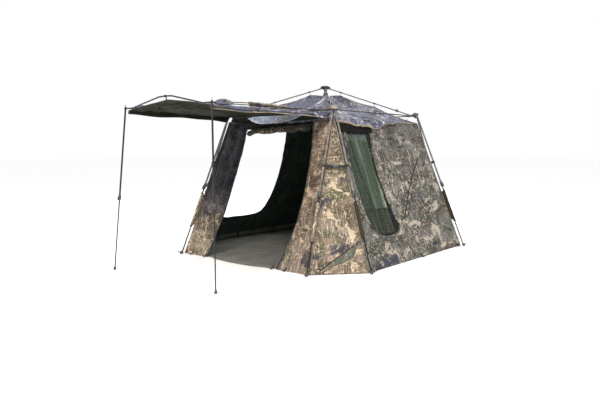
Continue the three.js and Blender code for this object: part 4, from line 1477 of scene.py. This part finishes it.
# Turned pieces, as (distance along the axis, radius)
HUB_CAP = [
    (-0.034, 0.030), (-0.029, 0.044), (-0.024, 0.062), (-0.016, 0.067),
    (-0.009, 0.060), (-0.002, 0.042), (0.003, 0.020), (0.005, 0.003),
]
HUB_WASHER = [(-0.004, 0.030), (0.000, 0.032), (0.003, 0.030), (0.005, 0.010)]
JOINT_CAP = [
    (-0.030, 0.038), (-0.026, 0.043), (-0.016, 0.045), (-0.006, 0.043),
    (0.003, 0.036), (0.009, 0.024), (0.012, 0.010), (0.0125, 0.002),
]
ARM_CLIP = [(-0.024, 0.009), (-0.021, 0.0135), (0.021, 0.0135), (0.024, 0.009)]
CLIP_KNOB = [(0.010, 0.006), (0.020, 0.006), (0.022, 0.010), (0.028, 0.010), (0.030, 0.006)]
CLAMP = [
    (-0.034, 0.0125), (-0.031, 0.0172), (-0.004, 0.0178), (0.000, 0.0168),
    (0.026, 0.0178), (0.031, 0.0172), (0.034, 0.0125),
]
SHOE = [(0.0, 0.0155), (0.004, 0.0175), (0.022, 0.0160), (0.034, 0.0125), (0.036, 0.009)]
COLLAR = [(-0.026, 0.010), (-0.024, 0.0142), (0.020, 0.0150), (0.024, 0.0142), (0.027, 0.010)]
POLE_PIN = [(-0.004, 0.009), (-0.002, 0.011), (0.003, 0.011), (0.005, 0.006)]
POLE_SHOE = [(0.0, 0.0125), (0.003, 0.0145), (0.026, 0.0130), (0.034, 0.0085)]


def add_hub_parts():
    """A domed cap with a rim and eight rivets, and the strap that carries the middle of the roof."""
    low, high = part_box("hub")
    top = UP * high.z
    trim = Trim(PLASTIC, PALE_WEBBING, STEEL)
    trim.knob(top, UP, HUB_CAP, 0, 28)
    for k in range(8):
        rivet = top + Matrix.Rotation(math.pi * (k + 0.5) / 4, 3, "Z") @ X * 0.046
        trim.tube([rivet - UP * 0.008, rivet - UP * 0.0005], 0.004, 2, 8)
    underside, roof_top = UP * (low.z + 0.004), UP * ridge_height(0.0)
    strap = [roof_top, roof_top.lerp(underside, 0.5) + X * 0.004, underside]
    trim.ribbon(strap, Vector((0.6, -0.8, 0)), 0.024, 0.002, 1)
    trim.knob(roof_top + UP * 0.002, UP, HUB_WASHER, 0, 24)
    trim.build("hub_cap_and_strap", "hub", None, "plastic")


LEG_SKIN = 0.0125  # just outside the upper legs' skin
TUBE = 0.0085  # the arms' and bars' radius, with their coating
CLIP_REACH = 0.985
WEB_HEIGHT = 1.130


def add_hooks(corner):
    """The straps that hang the roof from an arm, and the arm's clip."""
    way = corner_way(corner)
    across_arm = way.cross(UP)
    run = CORNER_PIVOT.xy.length - ARM_PIVOT.xy.length
    arm_way = (way * run + UP * (CORNER_PIVOT.z - ARM_PIVOT.z)).normalized()
    trim = Trim(WEBBING, PLASTIC, STEEL)

    def on_arm(reach):
        return way * reach + UP * arm_height(reach)

    def on_roof(reach):
        return way * reach + UP * (ridge_height(reach) + 0.001)

    for reach in HOOKS:
        arm, roof = on_arm(reach), on_roof(reach)
        trim.loop(arm, across(arm_way), TUBE + 0.0016, 0.020, 0.002)
        trim.ribbon([roof, arm - UP * TUBE], arm_way.cross(across_arm), 0.016, 0.002)
        trim.ribbon([roof - arm_way * 0.030, roof, roof + arm_way * 0.030], UP, 0.022, 0.0018)
        trim.bar(roof + UP * 0.010, across_arm * 0.012, 0.0028, 2, 8)
    trim.knob(on_arm(CLIP_REACH), arm_way, ARM_CLIP, 1, 18)
    trim.knob(on_arm(CLIP_REACH), UP, CLIP_KNOB, 1, 14)
    tip = on_roof(TIP)
    trim.ribbon([tip - arm_way * 0.035, tip, tip + arm_way * 0.03], UP, 0.024, 0.0018)
    trim.ribbon([tip, on_arm(TIP + 0.045) - UP * TUBE], across_arm.cross(arm_way), 0.018, 0.002)
    trim.build(f"roof_hooks_{corner}", f"arm_{corner}", None, "plastic")


def add_joint_cap(corner):
    """A domed cap with a lip on a corner joint, and a rivet over each pivot."""
    low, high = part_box(f"corner_joint_{corner}")
    centre = Vector(((low.x + high.x) / 2, (low.y + high.y) / 2, high.z))
    trim = Trim(CAP_PLASTIC if corner == "front_right" else PLASTIC, STEEL)
    trim.knob(centre, UP, JOINT_CAP, 0, 28)
    inward = X * -CORNERS[corner][0]
    for turned in (inward, inward.cross(-UP)):
        trim.tube([centre + turned * 0.018 + UP * lift for lift in (0.007, 0.012)], 0.005, 1)
    trim.build(f"joint_cap_{corner}", f"corner_{corner}", None, "plastic")


def add_web(corner):
    """Webbing between the two legs, on the outside of the corner panel."""
    way = corner_way(corner)
    legs = [f"{corner}_{corner.split('_')[0]}", f"{corner}_side"]
    ends = [leg_point(leg, WEB_HEIGHT) for leg in legs]
    span = (ends[1] - ends[0]).normalized()
    start, end = ends[0] + span * LEG_SKIN, ends[1] - span * LEG_SKIN
    line = [
        start.lerp(end, t / 8) + way * 0.006 - UP * (0.012 * math.sin(math.pi * t / 8))
        for t in range(9)
    ]
    trim = Trim(WEBBING, PLASTIC)
    trim.ribbon(line, way, 0.024, 0.003)
    for leg, middle in zip(legs, ends):
        trim.loop(middle, across(leg_up(leg)), 0.0135, 0.026, 0.003)
    trim.ribbon([line[3] + way * 0.004, line[5] + way * 0.004], way, 0.036, 0.006, 1)
    trim.build(f"corner_web_{corner}", *corner_carrier(corner), "plastic")


add_hub_parts()
for corner in CORNERS:
    add_hooks(corner)
    add_joint_cap(corner)
    add_web(corner)

SLEEVE_LOW, SLEEVE_HIGH = 0.336, 0.742
SLEEVE_BUNCH = 0.812  # the height just under the clamp that the sleeve would bunch up to; its point is worked out and left unused
GUSSET = 0.045
CLAMP_HEIGHT = 0.829


def add_leg_sleeve(leg, cloth):
    """A cloth sleeve round its leg, with a strap at each end."""
    trim = Trim(cloth, WEBBING)
    heights = [SLEEVE_LOW + (SLEEVE_HIGH - SLEEVE_LOW) * i / 14 for i in range(15)]
    radii = [0.0150 + 0.0016 * math.sin(i * 1.9) for i in range(15)]
    trim.tube([leg_point(leg, z) for z in heights], radii, 0, 14)
    for z in (SLEEVE_LOW, SLEEVE_HIGH):
        trim.loop(leg_point(leg, z), across(leg_up(leg)), 0.0165, 0.014, 0.002, 1)
    piece = trim.build(f"leg_sleeve_{leg}", f"leg_{leg}", None, "camo_cloth")
    leg_up(leg)
    leg_point(leg, SLEEVE_BUNCH)
    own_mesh(piece)


def add_gusset(leg, side, end, cloth):
    """The narrow cloth between a sleeve and the wall's seam."""
    def place(out, z):
        share = out / GUSSET
        seam = wall_point(side, end * edge_at(z), z)
        wave = 0.004 * math.sin(z * 40) * share * (1 - share) * 4
        return leg_point(leg, z).lerp(seam, share) + SIDES[side][0] * wave

    low, high = SLEEVE_LOW, SLEEVE_HIGH
    outline = [(0.0, low), (GUSSET, low + 0.02), (GUSSET, high - 0.02), (0.0, high)]
    rest = [(f"leg_{leg}", None), (cloth, cloth), "stretched", [f"upper_leg_{leg}"]]
    add_patch(f"leg_gusset_{leg}", outline, 0.02, place, *rest, thick=THIN_CLOTH)


def add_clamp(leg, side, end):
    """A clamp with its lever, and the strap that ties the leg to the wall."""
    up, (along, outward) = leg_up(leg), SIDES[side]
    trim = Trim(PLASTIC, STEEL, WEBBING)
    middle = leg_point(leg, CLAMP_HEIGHT)
    trim.knob(middle, up, CLAMP, 0, 20)
    root = middle + outward * 0.018
    lever = [root + up * 0.020, root + outward * 0.007, root + outward * 0.005 - up * 0.034]
    trim.ribbon(lever, outward, 0.016, 0.005)
    trim.bar(root + up * 0.012, along * 0.012, 0.0035, 1)
    strap_start = leg_point(leg, WEB_HEIGHT)
    strap_end = wall_point(side, end * edge_at(WEB_HEIGHT), WEB_HEIGHT)
    strap_start += (strap_end - strap_start).normalized() * LEG_SKIN
    trim.ribbon([strap_start, strap_end], UP, 0.018, 0.002, 2)
    trim.build(f"leg_clamp_{leg}", f"leg_{leg}", None, "plastic")


def add_shoe(leg, side, end):
    """A foot with the hook that the wall's corner hangs on."""
    along, outward = SIDES[side]
    foot = leg_point(leg, 0.0)
    trim = Trim(PLASTIC, WEBBING)
    trim.knob(Vector((foot.x, foot.y, 0.0)), UP, SHOE, 0, 20)
    root = foot + outward * 0.018 + along * (end * 0.006)
    bend = ((0.003, 0), (0.026, 0), (0.034, 0.008), (0.032, 0.020), (0.020, 0.024))
    trim.tube([root + UP * rise + outward * out for rise, out in bend], 0.0045)
    trim.ribbon([foot + UP * 0.012, root + UP * 0.014], UP, 0.016, 0.002, 1)
    trim.build(f"leg_shoe_{leg}", f"foot_{leg}", None, "plastic")


for leg, side, end in LEGS:
    cloth = BROWN_CLOTH if side in ("right", "left") else LAND
    add_leg_sleeve(leg, cloth)
    add_gusset(leg, side, end, cloth)
    add_clamp(leg, side, end)
    add_shoe(leg, side, end)


def add_peg(side, number, s):
    """A peg loop at a wall's foot, with its peg."""
    outward = SIDES[side][1]
    root = wall_point(side, s, 0.020, 0.002)
    tip = Vector((root.x, root.y, 0.0)) + outward * 0.034
    trim = Trim(WEBBING, PLASTIC)
    trim.ribbon([root + UP * 0.020, root, tip + UP * 0.006], outward + UP * 0.4, 0.020, 0.002)
    bend = ((0.001, 0), (0.018, 0), (0.022, 0.012), (0.012, 0.020))
    trim.tube([tip + UP * rise + outward * out for rise, out in bend], 0.005, 1)
    trim.build(f"peg_{side}_{number}", *wall_carrier(side, int(s > RIGHT_SPLIT)), "plastic")


for side, places in PEGS.items():
    for number, s in enumerate(places):
        add_peg(side, number, s)

# Front right corner panel: a slanting zip with the lighter cloth of its vent below it
VENT_LINE = [(-0.20, 0.045), (-0.05, 0.145), (0.09, 0.235), (0.17, 0.285)]
vent_outline = [*VENT_LINE, (0.195, 0.262), (0.16, 0.175), (0.03, 0.110)]
vent_carrier = corner_carrier("front_right")
vent_rest = [vent_carrier, (VENT, LINING), "stretched", ["corner_cloth_front_right"]]
vent_place = corner_place("front_right", 0.006)
add_patch("corner_vent", vent_outline, 0.02, vent_place, *vent_rest, thick=THIN_CLOTH)
trim = Trim(WEBBING, PLASTIC)
zip_place = corner_place("front_right", 0.009)
line = [zip_place(*p) for p in resample(VENT_LINE, 0.02, closed=False)]
trim.ribbon(line, Vector((1, -1, 0.2)), 0.010, 0.003)
trim.ribbon([line[-1], line[-1] - UP * 0.030], X - Y, 0.007, 0.003, 1)
trim.build("corner_vent_zip", *vent_carrier, "plastic")

# Piping down the seams between the walls and the corner panels; the front left ones are in the print with
# painted shade
for leg, side, end in LEGS:
    trim = Trim(TAN_EDGE if "front_right" in leg else SHADED if "front_left" in leg else LAND)
    heights = (WALL_LOW, 0.3, 0.6, 0.9, 1.2, 1.5, WALL_TOP)
    trim.tube([wall_point(side, end * edge_at(z), z, 0.001) for z in heights], 0.0035, 0, 8)
    trim.build(f"seam_{leg}", f"leg_{leg}", None, "camo_cloth")


def add_pole_parts(name):
    """An awning pole's collar with its lever, its top pin and its shoe."""
    collar_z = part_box(f"awning_pole_{name}_upper")[0].z + 0.024
    head = pivot(f"pole_swing_{name}")
    up = Vector(JOINTS[f"pole_slide_{name}"]["axis"])
    foot = head - up * (head.z / up.z)
    collar = head - up * ((head.z - collar_z) / up.z)
    lever = [collar + Vector((0, y, z)) for y, z in ((-0.015, 0.010), (-0.020, -0.004), (-0.018, -0.028))]
    trim = Trim(PLASTIC, STEEL)
    trim.knob(collar, up, COLLAR, 0, 18)
    trim.ribbon(lever, -Y, 0.013, 0.004)
    trim.tube([head + UP * 0.008, head + UP * 0.040], [0.0042, 0.0026], 1)
    trim.knob(head + UP * 0.012, UP, POLE_PIN)
    trim.build(f"pole_fittings_{name}", f"awning_pole_{name}", None, "plastic")
    trim = Trim(PLASTIC)
    trim.knob(Vector((foot.x, foot.y, 0.0)), UP, POLE_SHOE, 0, 18)
    trim.build(f"pole_shoe_{name}", f"awning_pole_foot_{name}", None, "plastic")


add_pole_parts("right")
add_pole_parts("left")

# The groundsheet turns up along the walls inside
RIM_HEIGHT, RIM_FOOT = 0.090, 0.006


def add_rim(name, side, end, cut):
    """A part of the rim, from the wall's end to the cut between its parts."""
    def place(s, z):
        lean = 0.01 * (1 - z / RIM_HEIGHT)
        return wall_point(side, s, z, -0.012 + wall_relief(side, s, z) - lean)

    low, high = (cut, edge_at(0.0)) if end else (-edge_at(0.0), cut)
    foot = [(low + 0.01, RIM_FOOT), (high - 0.01, RIM_FOOT)]
    outline = [*foot, (high - 0.02, RIM_HEIGHT), (low + 0.02, RIM_HEIGHT)]
    rest = [wall_carrier(side, end), (FLOOR_CLOTH, FLOOR_CLOTH), "stretched", ["groundsheet"]]
    add_patch(f"floor_rim_{name}", outline, 0.04, place, *rest, thick=THIN_CLOTH)


add_rim("back_right", "back", 0, 0.0)
add_rim("back_left", "back", 1, 0.0)
add_rim("left_rear", "left", 0, LEFT_CUT)
add_rim("left_front", "left", 1, LEFT_CUT)
add_rim("right_front", "right", 0, RIGHT_SPLIT)
add_rim("right_rear", "right", 1, RIGHT_SPLIT)
